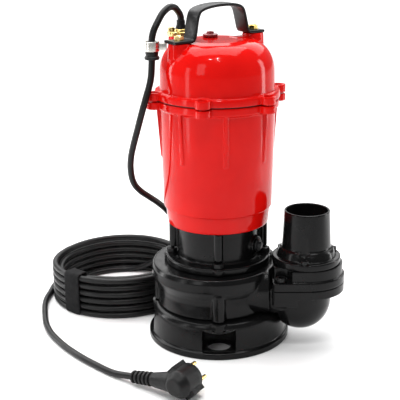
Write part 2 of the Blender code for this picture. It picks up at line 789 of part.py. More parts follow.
def lower_end_shield():
    low = SHIELD_LOW
    floor = low + SHIELD_FLOOR_T
    housing_r = BEARING_R + GAP
    spigot_r = CASING_LOW_R - CASING_WALL - GAP
    profile = [(spigot_r, SHIELD_TOP + SPIGOT_T), (spigot_r, SHIELD_TOP), (SHIELD_TOP_R, SHIELD_TOP)]
    profile += [(SHIELD_LOW_R, low + 1.5), (SHIELD_LOW_R - 1.5, low)]
    profile += [(SHAFT_HOLE_R, low), (SHAFT_HOLE_R, LOWER_BEARING_LOW - GAP)]
    profile += [(housing_r, LOWER_BEARING_LOW - GAP), (housing_r, LOWER_BEARING_LOW + BEARING_W)]
    profile += [(housing_r + 5, LOWER_BEARING_LOW + BEARING_W), (housing_r + 5, floor)]
    profile += [(spigot_r - 4, floor), (spigot_r - 4, SHIELD_TOP + SPIGOT_T)]
    return turned("lower_end_shield", profile, "red_paint")


def motor_casing():
    inner = CASING_LOW_R - CASING_WALL
    wide = CASING_TOP_R - CASING_WALL + 0.8
    flange_low = CASING_TOP - FLANGE_T
    profile = [(wide, CASING_TOP), (FLANGE_R - 0.8, CASING_TOP), (FLANGE_R, CASING_TOP - 0.8)]
    profile += [(FLANGE_R, flange_low), (CASING_TOP_R, flange_low - 1)]
    profile += [(CASING_LOW_R, CASING_LOW + 1), (CASING_LOW_R - 1, CASING_LOW), (inner, CASING_LOW)]
    profile += [(inner, CASING_TOP - 16), (wide, CASING_TOP - 13)]
    casing = turned("motor_casing", profile, "red_paint")
    rib_outline = [
        (CASING_LOW_R - 2, RIB_LOW),
        (CASING_LOW_R + 2.4, RIB_LOW),
        (FLANGE_R - 0.8, flange_low + 1),
        (CASING_LOW_R - 2, flange_low + 1),
    ]
    for i in range(RIBS):
        stand_up = Matrix.Rotation(math.radians(RIB_FIRST_ANGLE + 360 / RIBS * i), 4, "Z") @ Matrix.Rotation(
            math.radians(90), 4, "X"
        )
        join(casing, prism(f"rib_{i}", rib_outline, -RIB_W / 2, RIB_W / 2, frame=stand_up))
    for i, angle in enumerate(lug_angles()):
        foot = around(angle, LUG_PLACE_R, flange_low + LUG_INSET)
        join(casing, cylinder(f"lug_{i}", LUG_R, FLANGE_T - 2 * LUG_INSET, foot, steps=12))
        hole = cylinder(
            f"lug_hole_{i}",
            COVER_SCREW_R + SCREW_HOLE_CLEARANCE,
            FLANGE_T + 10,
            around(angle, LUG_PLACE_R, flange_low - 5),
            steps=8,
        )
        cut(casing, hole)
    return casing


def cover_gasket():
    low = CASING_TOP + GAP
    inner = CASING_TOP_R - CASING_WALL + 1.5
    outer = LUG_PLACE_R - COVER_SCREW_R - SCREW_HOLE_CLEARANCE - 1.6
    profile = [(inner, low + GASKET_T), (outer, low + GASKET_T), (outer, low), (inner, low)]
    return turned("cover_gasket", profile, "rubber")


def cover_outline(offset):
    """The cover's outer outline from its middle to the wall's foot, moved inwards by the offset."""
    centre_r = COVER_TERRACE_R - 10
    width = COVER_WALL_R - centre_r - 0.4 - offset
    height = COVER_TOP - COVER_WALL_TOP - 1.2 - offset
    shoulder = arc(centre_r, COVER_WALL_TOP, width, 84, 6, 5, height)
    return [(0, COVER_TOP - offset), (centre_r - 6, COVER_TOP - offset - 0.4), *shoulder]


def motor_top_cover():
    wall = COVER_WALL_R
    flange_top = COVER_LOW + COVER_FLANGE_T
    inside = wall - COVER_WALL
    profile = cover_outline(0)
    profile += [(wall, flange_top + 2), (wall + 2, flange_top), (FLANGE_R + 0.4, flange_top)]
    profile += [(FLANGE_R + 1, flange_top - 0.8), (FLANGE_R + 1, COVER_LOW), (inside, COVER_LOW)]
    profile += cover_outline(COVER_WALL)[::-1]
    cover = turned("motor_top_cover", profile, "red_paint")
    for i, angle in enumerate(lug_angles()):
        foot = around(angle, LUG_PLACE_R, COVER_LOW + LUG_INSET)
        join(cover, cylinder(f"cover_lug_{i}", LUG_R, COVER_FLANGE_T - 2 * LUG_INSET, foot, steps=12))
        recess = cylinder(
            f"cover_recess_{i}",
            COVER_SCREW_HEAD_R + 0.6,
            10,
            around(angle, LUG_PLACE_R, flange_top - COVER_SCREW_RECESS),
            steps=10,
        )
        cut(cover, recess)
        hole = cylinder(
            f"cover_hole_{i}",
            COVER_SCREW_R + SCREW_HOLE_CLEARANCE,
            20,
            around(angle, LUG_PLACE_R, COVER_LOW - 5),
            steps=8,
        )
        cut(cover, hole)
    for side, top in ((-1, LEFT_FOOT_Z), (1, RIGHT_FOOT_Z)):
        foot = (side * FOOT_X, side * FOOT_Y, COVER_TOP - 22)
        join(cover, cylinder(f"handle_boss_{side}", HANDLE_BOSS_R, top - foot[2], foot, steps=20))
        tapped = cylinder(
            f"handle_stud_hole_{side}", HANDLE_STUD_R + GAP, 12, (foot[0], foot[1], top - 8), steps=SMALL
        )
        cut(cover, tapped)
    gland = (GLAND_X, GLAND_Y, COVER_TOP - 22)
    join(cover, cylinder("gland_boss", GLAND_PLATE_L / 2 - 1, GLAND_BOSS_TOP - gland[2], gland, steps=20))
    cut(cover, cylinder("gland_way", GLAND_BUSH_R + GAP, 60, (GLAND_X, GLAND_Y, COVER_TOP - 50), steps=14))
    for side in (-1, 1):
        place = (GLAND_X + side * GLAND_SCREW_SPACING / 2, GLAND_Y, GLAND_BOSS_TOP - 7)
        cut(cover, cylinder(f"gland_screw_hole_{side}", GLAND_SCREW_R + GAP, 12, place, steps=10))
    cut(cover, cylinder("vent_hole", 5 + GAP, 30, (VENT_X, VENT_Y, COVER_TOP - 12), steps=SMALL))
    return cover


def cover_screws():
    seat = COVER_LOW + COVER_FLANGE_T - COVER_SCREW_RECESS + GAP
    head_top = seat + COVER_SCREW_HEAD_T
    end = CASING_TOP - FLANGE_T + 1
    profile = [(0, head_top), (COVER_SCREW_HEAD_R - 0.6, head_top), (COVER_SCREW_HEAD_R, head_top - 0.8)]
    profile += [(COVER_SCREW_HEAD_R, seat), (COVER_SCREW_R, seat), (COVER_SCREW_R, end), (0, end)]
    for i, angle in enumerate(lug_angles()):
        turned(f"cover_screw_{i + 1}", profile, "zinc", steps=8, centre=around(angle, LUG_PLACE_R)[:2])


def motor_inside(parent):
    bore = ROTOR_R + 0.6
    inner = WINDING_R - 18
    stator = [(bore, STATOR_HIGH), (STATOR_R, STATOR_HIGH), (STATOR_R, STATOR_LOW), (bore, STATOR_LOW)]
    turned("stator_core", stator, "electric_steel")
    for name, low in (("winding_upper", STATOR_HIGH + GAP), ("winding_lower", STATOR_LOW - GAP - WINDING_H)):
        ring = [(inner, low + WINDING_H), (WINDING_R, low + WINDING_H), (WINDING_R, low), (inner, low)]
        turned(name, ring, "copper", steps=MEDIUM)
    shaft_bore = SHAFT_MOTOR_R + GAP
    core = [(shaft_bore, STATOR_HIGH), (ROTOR_R, STATOR_HIGH)]
    core += [(ROTOR_R, STATOR_LOW), (shaft_bore, STATOR_LOW)]
    turned("rotor_core", core, "electric_steel", steps=MEDIUM, parent=parent)
    for name, low in (("lower_bearing", LOWER_BEARING_LOW), ("upper_bearing", UPPER_BEARING_LOW)):
        top = low + BEARING_W
        outer = [(BEARING_SPLIT_HIGH_R, top), (BEARING_R, top)]
        outer += [(BEARING_R, low), (BEARING_SPLIT_HIGH_R, low)]
        turned(name + "_outer_ring", outer, "steel", steps=MEDIUM)
        inner_ring = [(shaft_bore, top), (BEARING_SPLIT_LOW_R, top)]
        inner_ring += [(BEARING_SPLIT_LOW_R, low), (shaft_bore, low)]
        turned(name + "_inner_ring", inner_ring, "steel", steps=MEDIUM, parent=parent)


def bearing_bracket():
    """Plate across the casing's mouth, with a cup that holds the upper bearing."""
    outer = CASING_TOP_R - CASING_WALL + 0.8 - GAP
    low = UPPER_BEARING_LOW - 4
    plate_top = CASING_TOP - 0.4
    cup = BEARING_R + GAP
    profile = [(cup, plate_top), (outer, plate_top), (outer, plate_top - 5), (cup + 5, plate_top - 5)]
    profile += [(cup + 5, low), (SHAFT_HOLE_R + 4, low), (SHAFT_HOLE_R + 4, low + 3.7), (cup, low + 3.7)]
    return turned("bearing_bracket", profile, "iron")


def capacitor():
    top = CAPACITOR_LOW + CAPACITOR_H
    profile = [(0, top), (CAPACITOR_R - 1, top), (CAPACITOR_R, top - 1), (CAPACITOR_R, CAPACITOR_LOW)]
    return turned("capacitor", [*profile, (0, CAPACITOR_LOW)], "plastic", steps=14, centre=(CAPACITOR_X, 0))


def plate_outline(inset):
    """Flange outline seen from above: square towards the pump, half round on the far side."""
    half = PLATE_W / 2 - inset
    left = PLATE_LEFT_X + inset
    points = [(left, OUTLET_Y + half), (left, OUTLET_Y - half)]
    for i in range(13):
        turn = math.radians(-90 + 180 * i / 12)
        points.append((OUTLET_X + (PLATE_R - inset) * math.cos(turn), OUTLET_Y + half * math.sin(turn)))
    return points


def discharge_elbow():
    elbow = prism("discharge_elbow", plate_outline(0), PLATE_LOW, PLATE_SEAM, "black_paint")
    rim = PLATE_LOW + 4
    bowl = [(0, rim), (BOWL_R + 0.8, rim), *arc(0, BOWL_Z, BOWL_R, 0, -90, 6)]
    join(elbow, turned("elbow_bowl", bowl, None, steps=28, centre=(ELBOW_X, OUTLET_Y)))
    face = NECK_END_X + GAP
    start = (face - 3, OUTLET_Y, ELBOW_INLET_Z)
    join(elbow, cylinder("elbow_inlet", ELBOW_INLET_R, ELBOW_X - face + 3, start, axis=(1, 0, 0)))
    near, far = OUTLET_Y - INLET_FLANGE_W / 2, OUTLET_Y + INLET_FLANGE_W / 2
    flange_far = (PLATE_LEFT_X + 6, far, PLATE_SEAM - 0.6)
    join(elbow, box("elbow_flange", (face - 3, near, INLET_FLANGE_LOW), flange_far))
    cut(elbow, box("volute_room", (face - 20, -120, 0), (face, 80, PLATE_SEAM + 20)))
    cut(elbow, box("seat_face", (face - 5, -120, PLATE_SEAM), (PLATE_LEFT_X + 120, 80, PLATE_SEAM + 60)))
    cut(elbow, cylinder("stand_room", SKIRT_LOW_R + CAST_CLEARANCE, STAND_H + 2, (0, 0, 0), steps=60))
    inner = BOWL_R - BOWL_WALL
    hollow = [(0, PLATE_SEAM + 5), (SEAT_R, PLATE_SEAM + 5), (SEAT_R, rim), (inner, PLATE_LOW - 6)]
    hollow += arc(0, BOWL_Z, inner, 0, -90, 5)
    hollow = turned("bowl_hollow", hollow, None, steps=MEDIUM, centre=(ELBOW_X, OUTLET_Y))
    wall = SKIRT_LOW_R + CAST_CLEARANCE + BOWL_WALL
    cut(hollow, cylinder("bowl_back_wall", wall, STAND_H + 2 + BOWL_WALL, (0, 0, 0), steps=60))
    cut(elbow, hollow)
    cut(elbow, cylinder("elbow_bore", BORE_R, bore_run().length - 5, BORE_START, axis=bore_run()))
    for i, side in enumerate((-1, 1)):
        y = OUTLET_Y + side * VALVE_BOLT_Y
        hole = (VALVE_BOLT_X, y, PLATE_LOW - 10)
        hole_r = VALVE_BOLT_R + SCREW_HOLE_CLEARANCE
        cut(elbow, cylinder(f"elbow_bolt_hole_{i}", hole_r, 40, hole, steps=SMALL))
        room = (VALVE_BOLT_X, y, PLATE_LOW - 14)
        cut(elbow, cylinder(f"nut_room_{i}", VALVE_BOLT_HEAD_R + 1.4, 14.3, room, steps=14))
    return elbow


def valve_flap(parent):
    """Disc with a knuckle, built about its own hinge axis."""
    lift = GAP - FLAP_HINGE_RISE
    flap = cylinder(
        "valve_flap",
        FLAP_R,
        FLAP_T,
        (FLAP_X - FLAP_HINGE_X, 0, lift),
        "rubber",
        parent=parent,
    )
    low = (0, -FLAP_KNUCKLE_L / 2 + 2, lift)
    high = (FLAP_X - FLAP_HINGE_X, FLAP_KNUCKLE_L / 2 - 2, lift + FLAP_T)
    join(flap, box("flap_arm", low, high, parent=parent))
    base = (0, -FLAP_KNUCKLE_L / 2, 0)
    knuckle = cylinder(
        "flap_knuckle", FLAP_KNUCKLE_R, FLAP_KNUCKLE_L, base, axis=(0, 1, 0), steps=14, parent=parent
    )
    join(flap, knuckle)
    eye = cylinder(
        "flap_eye",
        FLAP_PIN_R + GAP,
        FLAP_KNUCKLE_L * 2,
        (0, -FLAP_KNUCKLE_L, 0),
        axis=(0, 1, 0),
        steps=SMALL,
        parent=parent,
    )
    return cut(flap, eye)


def flap_pin():
    base = (FLAP_HINGE_X, OUTLET_Y - FLAP_PIN_L / 2, PLATE_SEAM + FLAP_HINGE_RISE)
    return cylinder("flap_pin", FLAP_PIN_R, FLAP_PIN_L, base, "steel", axis=(0, 1, 0), steps=SMALL)


def valve_cover():
    low = PLATE_SEAM + GAP
    cover = prism("valve_cover", plate_outline(0), low, low + PLATE_T, "black_paint")
    join(cover, prism("valve_body", plate_outline(VALVE_BODY_INSET), low + 4, VALVE_BODY_TOP))
    for i, side in enumerate((-1, 1)):
        y = OUTLET_Y + side * VALVE_BOLT_Y
        hole = (VALVE_BOLT_X, y, low - 5)
        hole_r = VALVE_BOLT_R + SCREW_HOLE_CLEARANCE
        cut(cover, cylinder(f"cover_bolt_hole_{i}", hole_r, 40, hole, steps=SMALL))
        near, far = sorted((y - side * (VALVE_BOLT_HEAD_R + 2), OUTLET_Y + side * (PLATE_W / 2 + 5)))
        pocket = box(
            f"bolt_pocket_{i}",
            (PLATE_LEFT_X - 10, near, low + PLATE_T),
            (VALVE_BOLT_X + VALVE_BOLT_HEAD_R + 3, far, VALVE_BODY_TOP + 5),
        )
        cut(cover, pocket)
    chamber = cylinder(
        "valve_chamber",
        VALVE_CHAMBER_R,
        VALVE_CHAMBER_TOP - low + 5,
        (OUTLET_X + 2, OUTLET_Y, low - 5),
        steps=28,
    )
    cut(cover, chamber)
    half = FLAP_KNUCKLE_L / 2 + 1.5
    hinge_room = box(
        "hinge_room",
        (VALVE_CHAMBER_LEFT_X, OUTLET_Y - half, low - 5),
        (OUTLET_X, OUTLET_Y + half, VALVE_CHAMBER_TOP - 6),
    )
    cut(cover, hinge_room)
    mouth = (OUTLET_X, OUTLET_Y, VALVE_BODY_TOP - 10)
    cut(cover, cylinder("valve_mouth", VALVE_MOUTH_R, 20, mouth, steps=MEDIUM))
    base = (FLAP_HINGE_X, OUTLET_Y - FLAP_PIN_L / 2 - GAP, PLATE_SEAM + FLAP_HINGE_RISE)
    room = EAR_PLACE_R + EAR_R + CAST_CLEARANCE
    cut(cover, cylinder("chamber_room", room, 40, (0, 0, VOLUTE_TOP - 1), steps=40))
    length = FLAP_PIN_L + 2 * GAP
    return cut(cover, cylinder("pin_bore", FLAP_PIN_R + GAP, length, base, axis=(0, 1, 0), steps=SMALL))


def valve_bolts():
    """Cap screw with its nut under the flanges, drawn as one."""
    seat = PLATE_SEAM + GAP + PLATE_T + GAP
    under = PLATE_LOW - GAP
    top = seat + VALVE_BOLT_HEAD_T
    nut_low = under - VALVE_BOLT_HEAD_T
    profile = [(0, top), (VALVE_BOLT_HEAD_R - 0.8, top), (VALVE_BOLT_HEAD_R, top - 0.8)]
    profile += [(VALVE_BOLT_HEAD_R, seat), (VALVE_BOLT_R, seat), (VALVE_BOLT_R, under)]
    profile += [(VALVE_BOLT_HEAD_R, under), (VALVE_BOLT_HEAD_R, nut_low), (VALVE_BOLT_R, nut_low)]
    profile += [(VALVE_BOLT_R, nut_low - 2), (0, nut_low - 2)]
    for i, side in enumerate((-1, 1)):
        place = (VALVE_BOLT_X, OUTLET_Y + side * VALVE_BOLT_Y)
        turned(f"valve_bolt_{i + 1}", profile, "black_steel", steps=10, centre=place)


def hose_tail():
    low = TAIL_LOW
    flange = low + TAIL_FLANGE_T
    profile = [(TAIL_BORE_R, TAIL_TOP), (TAIL_MOUTH_R - 0.6, TAIL_TOP), (TAIL_MOUTH_R, TAIL_TOP - 0.8)]
    profile += [(TAIL_FOOT_R, TAIL_COLLAR_TOP), (TAIL_COLLAR_R, TAIL_COLLAR_TOP)]
    profile += [(TAIL_COLLAR_R, flange), (TAIL_FLANGE_R - 1, flange), (TAIL_FLANGE_R, flange - 1)]
    profile += [(TAIL_FLANGE_R, low), (TAIL_BORE_R, low)]
    return turned("hose_tail", profile, "black_paint", centre=(OUTLET_X, OUTLET_Y))


def strap_point(share, z):
    """Middle of the strap at a share of the way from its left foot to its right foot."""
    return Vector((FOOT_X * share, FOOT_Y * share, z))


def handle():
    """Flat strap swept along a line: foot, bend, leg, bend, top and the same back down."""
    left = LEFT_FOOT_Z + GAP + HANDLE_T / 2
    right = RIGHT_FOOT_Z + GAP + HANDLE_T / 2
    top = HANDLE_TOP - HANDLE_T / 2
    leg = top - 16 - right
    foot_bend = ((0.80, 0.0), (0.735, 0.6), (0.70, 3.5), (0.66, 13.5))
    line = [(-HANDLE_LEFT_END, left), *((-share, left + rise) for share, rise in foot_bend)]
    line += [(-0.60, left + leg), (-0.55, top - 7.5), (-0.47, top - 4.0), (-0.36, top - 2.0), (0.0, top)]
    line += [(0.36, top - 0.4), (0.47, top - 2.2), (0.55, top - 5.8), (0.60, right + leg)]
    line += [*((share, right + rise) for share, rise in foot_bend[::-1]), (HANDLE_RIGHT_END, right)]
    places = [strap_point(share, z) for share, z in line]
    across = Vector((-FOOT_Y, FOOT_X, 0)).normalized() * (HANDLE_W / 2)
    mesh = bpy.data.meshes.new("handle")
    bm = bmesh.new()
    rows = []
    for i, place in enumerate(places):
        before = places[max(i - 1, 0)]
        after = places[min(i + 1, len(places) - 1)]
        out = (after - before).normalized().cross(across.normalized()) * (HANDLE_T / 2)
        corners = (place - across - out, place + across - out, place + across + out, place - across + out)
        rows.append([bm.verts.new(corner * MM) for corner in corners])
    for row, following in zip(rows, rows[1:]):
        for i in range(4):
            bm.faces.new((row[i], row[(i + 1) % 4], following[(i + 1) % 4], following[i]))
    bm.faces.new(rows[0])
    bm.faces.new(rows[-1])
    bmesh.ops.recalc_face_normals(bm, faces=bm.faces)
    bm.to_mesh(mesh)
    bm.free()
    shade(mesh)
    strap = add_object("handle", mesh, "black_steel")
    for side, foot_z in ((-1, LEFT_FOOT_Z), (1, RIGHT_FOOT_Z)):
        place = (side * FOOT_X, side * FOOT_Y, foot_z - 5)
        cut(strap, cylinder(f"handle_hole_{side}", HANDLE_HOLE_R, 20, place, steps=SMALL))
    return strap


def handle_nuts():
    """Dome nut on its stud, drawn as one."""
    for i, (side, foot_z) in enumerate(((-1, LEFT_FOOT_Z), (1, RIGHT_FOOT_Z))):
        seat = foot_z + HANDLE_T + 2 * GAP
        dome = arc(0, seat + 3, HANDLE_NUT_R - 1, 90, 0, 4, HANDLE_NUT_T - 3)
        profile = [*dome, (HANDLE_NUT_R, seat + 2.4), (HANDLE_NUT_R, seat), (HANDLE_STUD_R, seat)]
        profile += [(HANDLE_STUD_R, foot_z - 7), (0, foot_z - 7)]
        profile[0] = (0, profile[0][1])
        turned(f"handle_nut_{i + 1}", profile, "brass", steps=10, centre=(side * FOOT_X, side * FOOT_Y))


def vent_plug():
    low = COVER_TOP + GAP
    profile = [(0, low + VENT_T), (4, low + VENT_T), (4.4, low + 4), (VENT_R - 1, low + 3.6)]
    profile += [(VENT_R, low + 2.8), (VENT_R, low), (5, low), (5, low - 8), (0, low - 8)]
    return turned("vent_plug", profile, "red_paint", steps=14, centre=(VENT_X, VENT_Y))


def gland():
    low = GLAND_BOSS_TOP + GAP
    half = GLAND_PLATE_W / 2
    straight = GLAND_PLATE_L / 2 - half
    outline = []
    for side, first in ((1, -90), (-1, 90)):
        for i in range(9):
            turn = math.radians(first + 180 * i / 8)
            outline.append((side * straight + half * math.cos(turn), half * math.sin(turn)))
    frame = Matrix.Translation((GLAND_X * MM, GLAND_Y * MM, 0))
    plate = prism("gland_plate", outline, low, low + GLAND_PLATE_T, "brass", frame=frame)
    cut(plate, cylinder("plate_way", GLAND_BUSH_R + GAP, 20, (GLAND_X, GLAND_Y, low - 5), steps=14))
    seat = low + GLAND_PLATE_T + GAP
    top = seat + GLAND_SCREW_HEAD_T
    for i, side in enumerate((-1, 1)):
        x = GLAND_X + side * GLAND_SCREW_SPACING / 2
        foot = (x, GLAND_Y, low - 5)
        cut(plate, cylinder(f"plate_screw_hole_{i}", GLAND_SCREW_R + GAP, 20, foot, steps=10))
        profile = [(0, top), (GLAND_SCREW_HEAD_R - 0.6, top), (GLAND_SCREW_HEAD_R, top - 0.6)]
        profile += [(GLAND_SCREW_HEAD_R, seat), (GLAND_SCREW_R, seat)]
        profile += [(GLAND_SCREW_R, GLAND_BOSS_TOP - 6), (0, GLAND_BOSS_TOP - 6)]
        turned(f"gland_screw_{i + 1}", profile, "brass", steps=10, centre=(x, GLAND_Y))
    bush_top = DROP_ROUTE[0][2] - CORD_D * CORD_END_DIP
    bore = CORD_D / 2 + GLAND_BUSH_CLEARANCE
    ring = [(bore, bush_top), (GLAND_BUSH_R - 1.2, bush_top), (GLAND_BUSH_R, low)]
    ring += [(GLAND_BUSH_R, low - 16), (bore, low - 16)]
    return turned("gland_bush", ring, "rubber", steps=14, centre=(GLAND_X, GLAND_Y))


def cable_clamp():
    """Metal band round the cable, with a tongue that reaches under the handle's left foot."""
    inner = CLAMP_R - CLAMP_T
    profile = [(inner, CLAMP_HIGH), (CLAMP_R, CLAMP_HIGH), (CLAMP_R, CLAMP_LOW), (inner, CLAMP_LOW)]
    clamp = turned("cable_clamp", profile, "zinc", steps=14, centre=(GROMMET_X, GROMMET_Y))
    middle = (CLAMP_LOW + CLAMP_HIGH) / 2
    length = -FOOT_X - HANDLE_BOSS_R - 1.5 - GROMMET_X - inner
    tongue = box(
        "clamp_tongue",
        (GROMMET_X + inner + 0.4, GROMMET_Y - CLAMP_TONGUE_T, middle - 4),
        (GROMMET_X + inner + length, GROMMET_Y + CLAMP_TONGUE_T, middle + 4),
    )
    join(clamp, tongue)
    return clamp


def cable_grommet():
    bore = CORD_D / 2 + GROMMET_CLEARANCE
    profile = [(bore, CLAMP_HIGH - 1), (GROMMET_NECK_R, CLAMP_HIGH - 1), (GROMMET_NECK_R, GROMMET_HIGH)]
    profile += [(GROMMET_R - 1.5, GROMMET_HIGH), (GROMMET_R - 0.8, GROMMET_LOW + 4)]
    profile += [(GROMMET_R, GROMMET_LOW + 2.5), (GROMMET_R, GROMMET_LOW), (bore, GROMMET_LOW)]
    return turned("cable_grommet", profile, "rubber", steps=14, centre=(GROMMET_X, GROMMET_Y))


def cable():
    tube("cord_drop", DROP_ROUTE, CORD_D / 2, "rubber")
    tube("cord_lead", LEAD_ROUTE, CORD_D / 2, "rubber")
    low = 0.05
    ring = [(COIL_INNER_R, COIL_H - 2), (COIL_INNER_R + 2, COIL_H), (COIL_R - 2, COIL_H)]
    ring += [(COIL_R, COIL_H - 2), (COIL_R, low + 2), (COIL_R - 2, low)]
    ring += [(COIL_INNER_R + 2, low), (COIL_INNER_R, low + 2)]
    turned("cord_coil", ring, "rubber", centre=(COIL_X, COIL_Y), steps=40)
    inner = math.sqrt(COIL_INNER_R**2 - (TIE_W / 2) ** 2) - GAP
    outer = COIL_R + GAP
    top = COIL_H + GAP
    outline = [(outer, low), (outer + TIE_T, low), (outer + TIE_T, top + TIE_T), (inner - TIE_T, top + TIE_T)]
    outline += [(inner - TIE_T, low), (inner, low), (inner, top), (outer, top)]
    frame = (
        Matrix.Translation((COIL_X * MM, COIL_Y * MM, 0))
        @ Matrix.Rotation(math.radians(TIE_ANGLE), 4, "Z")
        @ Matrix.Rotation(math.radians(90), 4, "X")
    )
    return prism("coil_tie", outline, -TIE_W / 2, TIE_W / 2, "rubber", frame=frame)


def plug_directions():
    """Directions of the plug: out along its pins, and across from one pin to the other."""
    heading = math.radians(PLUG_HEADING)
    out = Vector((math.cos(heading), math.sin(heading), 0))
    pin_line = Matrix.Rotation(math.radians(PLUG_ROLL), 3, out) @ Vector((0, 0, 1))
    return out, pin_line


def plug():
    out, pin_line = plug_directions()
    front = Vector(PLUG_FRONT)
    back = front - out * PLUG_L
    body = turned(
        "plug_body",
        [
            (0, PLUG_L),
            (PLUG_R - 2.5, PLUG_L),
            (PLUG_R - 0.6, PLUG_L - 1.4),
            (PLUG_R, PLUG_L - 5),
            (PLUG_R, 9),
            (PLUG_R - 2, 3),
            (PLUG_R - 7, 0),
            (0, 0),
        ],
        "rubber",
        steps=20,
        frame=placed(back, out),
    )
    across = pin_line.cross(out)
    for i, side in enumerate((-1, 1)):
        guide = bpy.data.meshes.new(f"guide_{i}")
        bm = bmesh.new()
        bmesh.ops.create_cube(bm, size=1)
        bm.to_mesh(guide)
        bm.free()
        block = add_object(f"guide_{i}", guide, None)
        centre = front - out * (PLUG_GUIDE_L / 2 + 1) + pin_line * side * (PLUG_R - 1.5)
        axes = Matrix((across * PLUG_GUIDE_W, pin_line * PLUG_GUIDE_T * 2, out * PLUG_GUIDE_L)).transposed()
        block.matrix_local = Matrix.Translation(centre * MM) @ (axes * MM).to_4x4()
        join(body, block)
    sleeve_end = Vector(LEAD_ROUTE[-1])
    root = back + out * PLUG_NECK_R
    run = sleeve_end - root
    neck_l = run.length * 0.56
    neck = cylinder(
        "plug_neck", PLUG_NECK_R - 0.5, neck_l, root, axis=run, steps=14, top_radius=PLUG_SLEEVE_R
    )
    join(body, neck)
    sleeve = cylinder(
        "plug_sleeve",
        PLUG_SLEEVE_R,
        run.length - neck_l + 1 - PLUG_SLEEVE_CLEARANCE,
        root + run.normalized() * (neck_l - 1),
        axis=run,
        steps=14,
        top_radius=PLUG_SLEEVE_END_R,
    )
    join(body, sleeve)
    for i, side in enumerate((-1, 1)):
        foot = front + pin_line * side * PLUG_PIN_SPACING / 2
        base = foot - out * PLUG_PIN_SOCKET
        cut(body, cylinder(f"pin_socket_{i}", PLUG_PIN_R + GAP, 20, base, axis=out, steps=SMALL))
        length = PLUG_PIN_L + PLUG_PIN_SOCKET - GAP
        pin = [(0, length), (PLUG_PIN_R - 1, length), (PLUG_PIN_R, length - 1.2), (PLUG_PIN_R, 0), (0, 0)]
        frame = placed(base + out * GAP, out)
        turned(f"plug_pin_{i + 1}", pin, "brass", steps=SMALL, frame=frame)
    return body


def build():
    rotor_axis = at_axis("rotor_axis")
    hinge_axis = at_axis("flap_hinge_axis", (FLAP_HINGE_X, OUTLET_Y, PLATE_SEAM + FLAP_HINGE_RISE))
    base_stand()
    suction_plate()
    volute_casing()
    impeller(rotor_axis)
    suction_cutter(rotor_axis)
    shaft(rotor_axis)
    shaft_seal(rotor_axis)
    oil_chamber()
    oil_plug()
    lower_end_shield()
    motor_casing()
    cover_gasket()
    motor_top_cover()
    cover_screws()
    motor_inside(rotor_axis)
    bearing_bracket()
    capacitor()
    discharge_elbow()
    valve_flap(hinge_axis)
    flap_pin()
    valve_cover()
    valve_bolts()
    hose_tail()
    handle()
    handle_nuts()
    vent_plug()
    gland()
    cable_clamp()
    cable_grommet()
    cable()
    plug()


build()
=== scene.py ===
"""Looks of a submersible sewage pump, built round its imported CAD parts.

Shapes are modelled in millimetres from the pump's shaft axis at the floor, with the outlet towards +X,
and show() moves each finished mesh into the frame, in metres. Places and overall sizes come from the
CAD nodes' boxes; the constants are the details that the boxes don't give.
"""

import json
import math

import bmesh
import bpy
from mathutils import Matrix, Vector


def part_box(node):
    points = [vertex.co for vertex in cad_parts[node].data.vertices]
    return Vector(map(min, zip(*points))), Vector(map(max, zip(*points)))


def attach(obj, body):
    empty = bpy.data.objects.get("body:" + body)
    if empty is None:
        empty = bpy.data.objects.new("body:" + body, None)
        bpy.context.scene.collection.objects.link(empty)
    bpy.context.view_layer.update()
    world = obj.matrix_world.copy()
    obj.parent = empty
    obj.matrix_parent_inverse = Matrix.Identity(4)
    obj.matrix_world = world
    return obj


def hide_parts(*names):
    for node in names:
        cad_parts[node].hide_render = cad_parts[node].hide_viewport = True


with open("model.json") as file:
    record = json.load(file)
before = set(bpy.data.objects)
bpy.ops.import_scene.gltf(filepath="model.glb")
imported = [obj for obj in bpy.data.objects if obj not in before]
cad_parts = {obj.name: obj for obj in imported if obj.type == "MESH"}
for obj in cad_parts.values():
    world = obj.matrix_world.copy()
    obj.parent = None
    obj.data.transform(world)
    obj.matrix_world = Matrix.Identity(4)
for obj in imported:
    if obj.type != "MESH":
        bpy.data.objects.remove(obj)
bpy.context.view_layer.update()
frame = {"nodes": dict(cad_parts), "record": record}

MM = 0.001
GAP = 0.3
FINE = 128
MEDIUM = 64
SMALL = 32


def axis_of(node):
    """Vertical line through the middle of a round CAD node."""
    low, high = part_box(node)
    return Vector(((low.x + high.x) / 2, (low.y + high.y) / 2, 0))


AXIS = axis_of("lower_end_shield")
TO_FRAME = Matrix.Translation(AXIS) @ Matrix.Scale(MM, 4)


def span(node):
    """Lowest and highest corner of a CAD node, in millimetres from the shaft axis at the floor."""
    low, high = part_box(node)
    return (low - AXIS) / MM, (high - AXIS) / MM


STAND_LOW, STAND_HIGH = span("base_stand")
VOLUTE_LOW, VOLUTE_HIGH = span("volute_casing")
CHAMBER_LOW, CHAMBER_HIGH = span("oil_chamber")
SHIELD_LOW, SHIELD_HIGH = span("lower_end_shield")
CASING_LOW, CASING_HIGH = span("motor_casing")
COVER_LOW = span("motor_top_cover")[0]
ELBOW_LOW, ELBOW_HIGH = span("discharge_elbow")
VALVE_LOW, VALVE_HIGH = span("valve_cover")
TAIL_LOW, TAIL_HIGH = span("hose_tail")
HANDLE_HIGH = span("handle")[1]
VENT_LOW, VENT_HIGH = span("vent_plug")
GLAND_LOW, GLAND_HIGH = span("gland_plate")
CLAMP_LOW, CLAMP_HIGH = span("cable_clamp")
GROMMET_LOW, GROMMET_HIGH = span("cable_grommet")
COIL_LOW, COIL_HIGH = span("cord_coil")

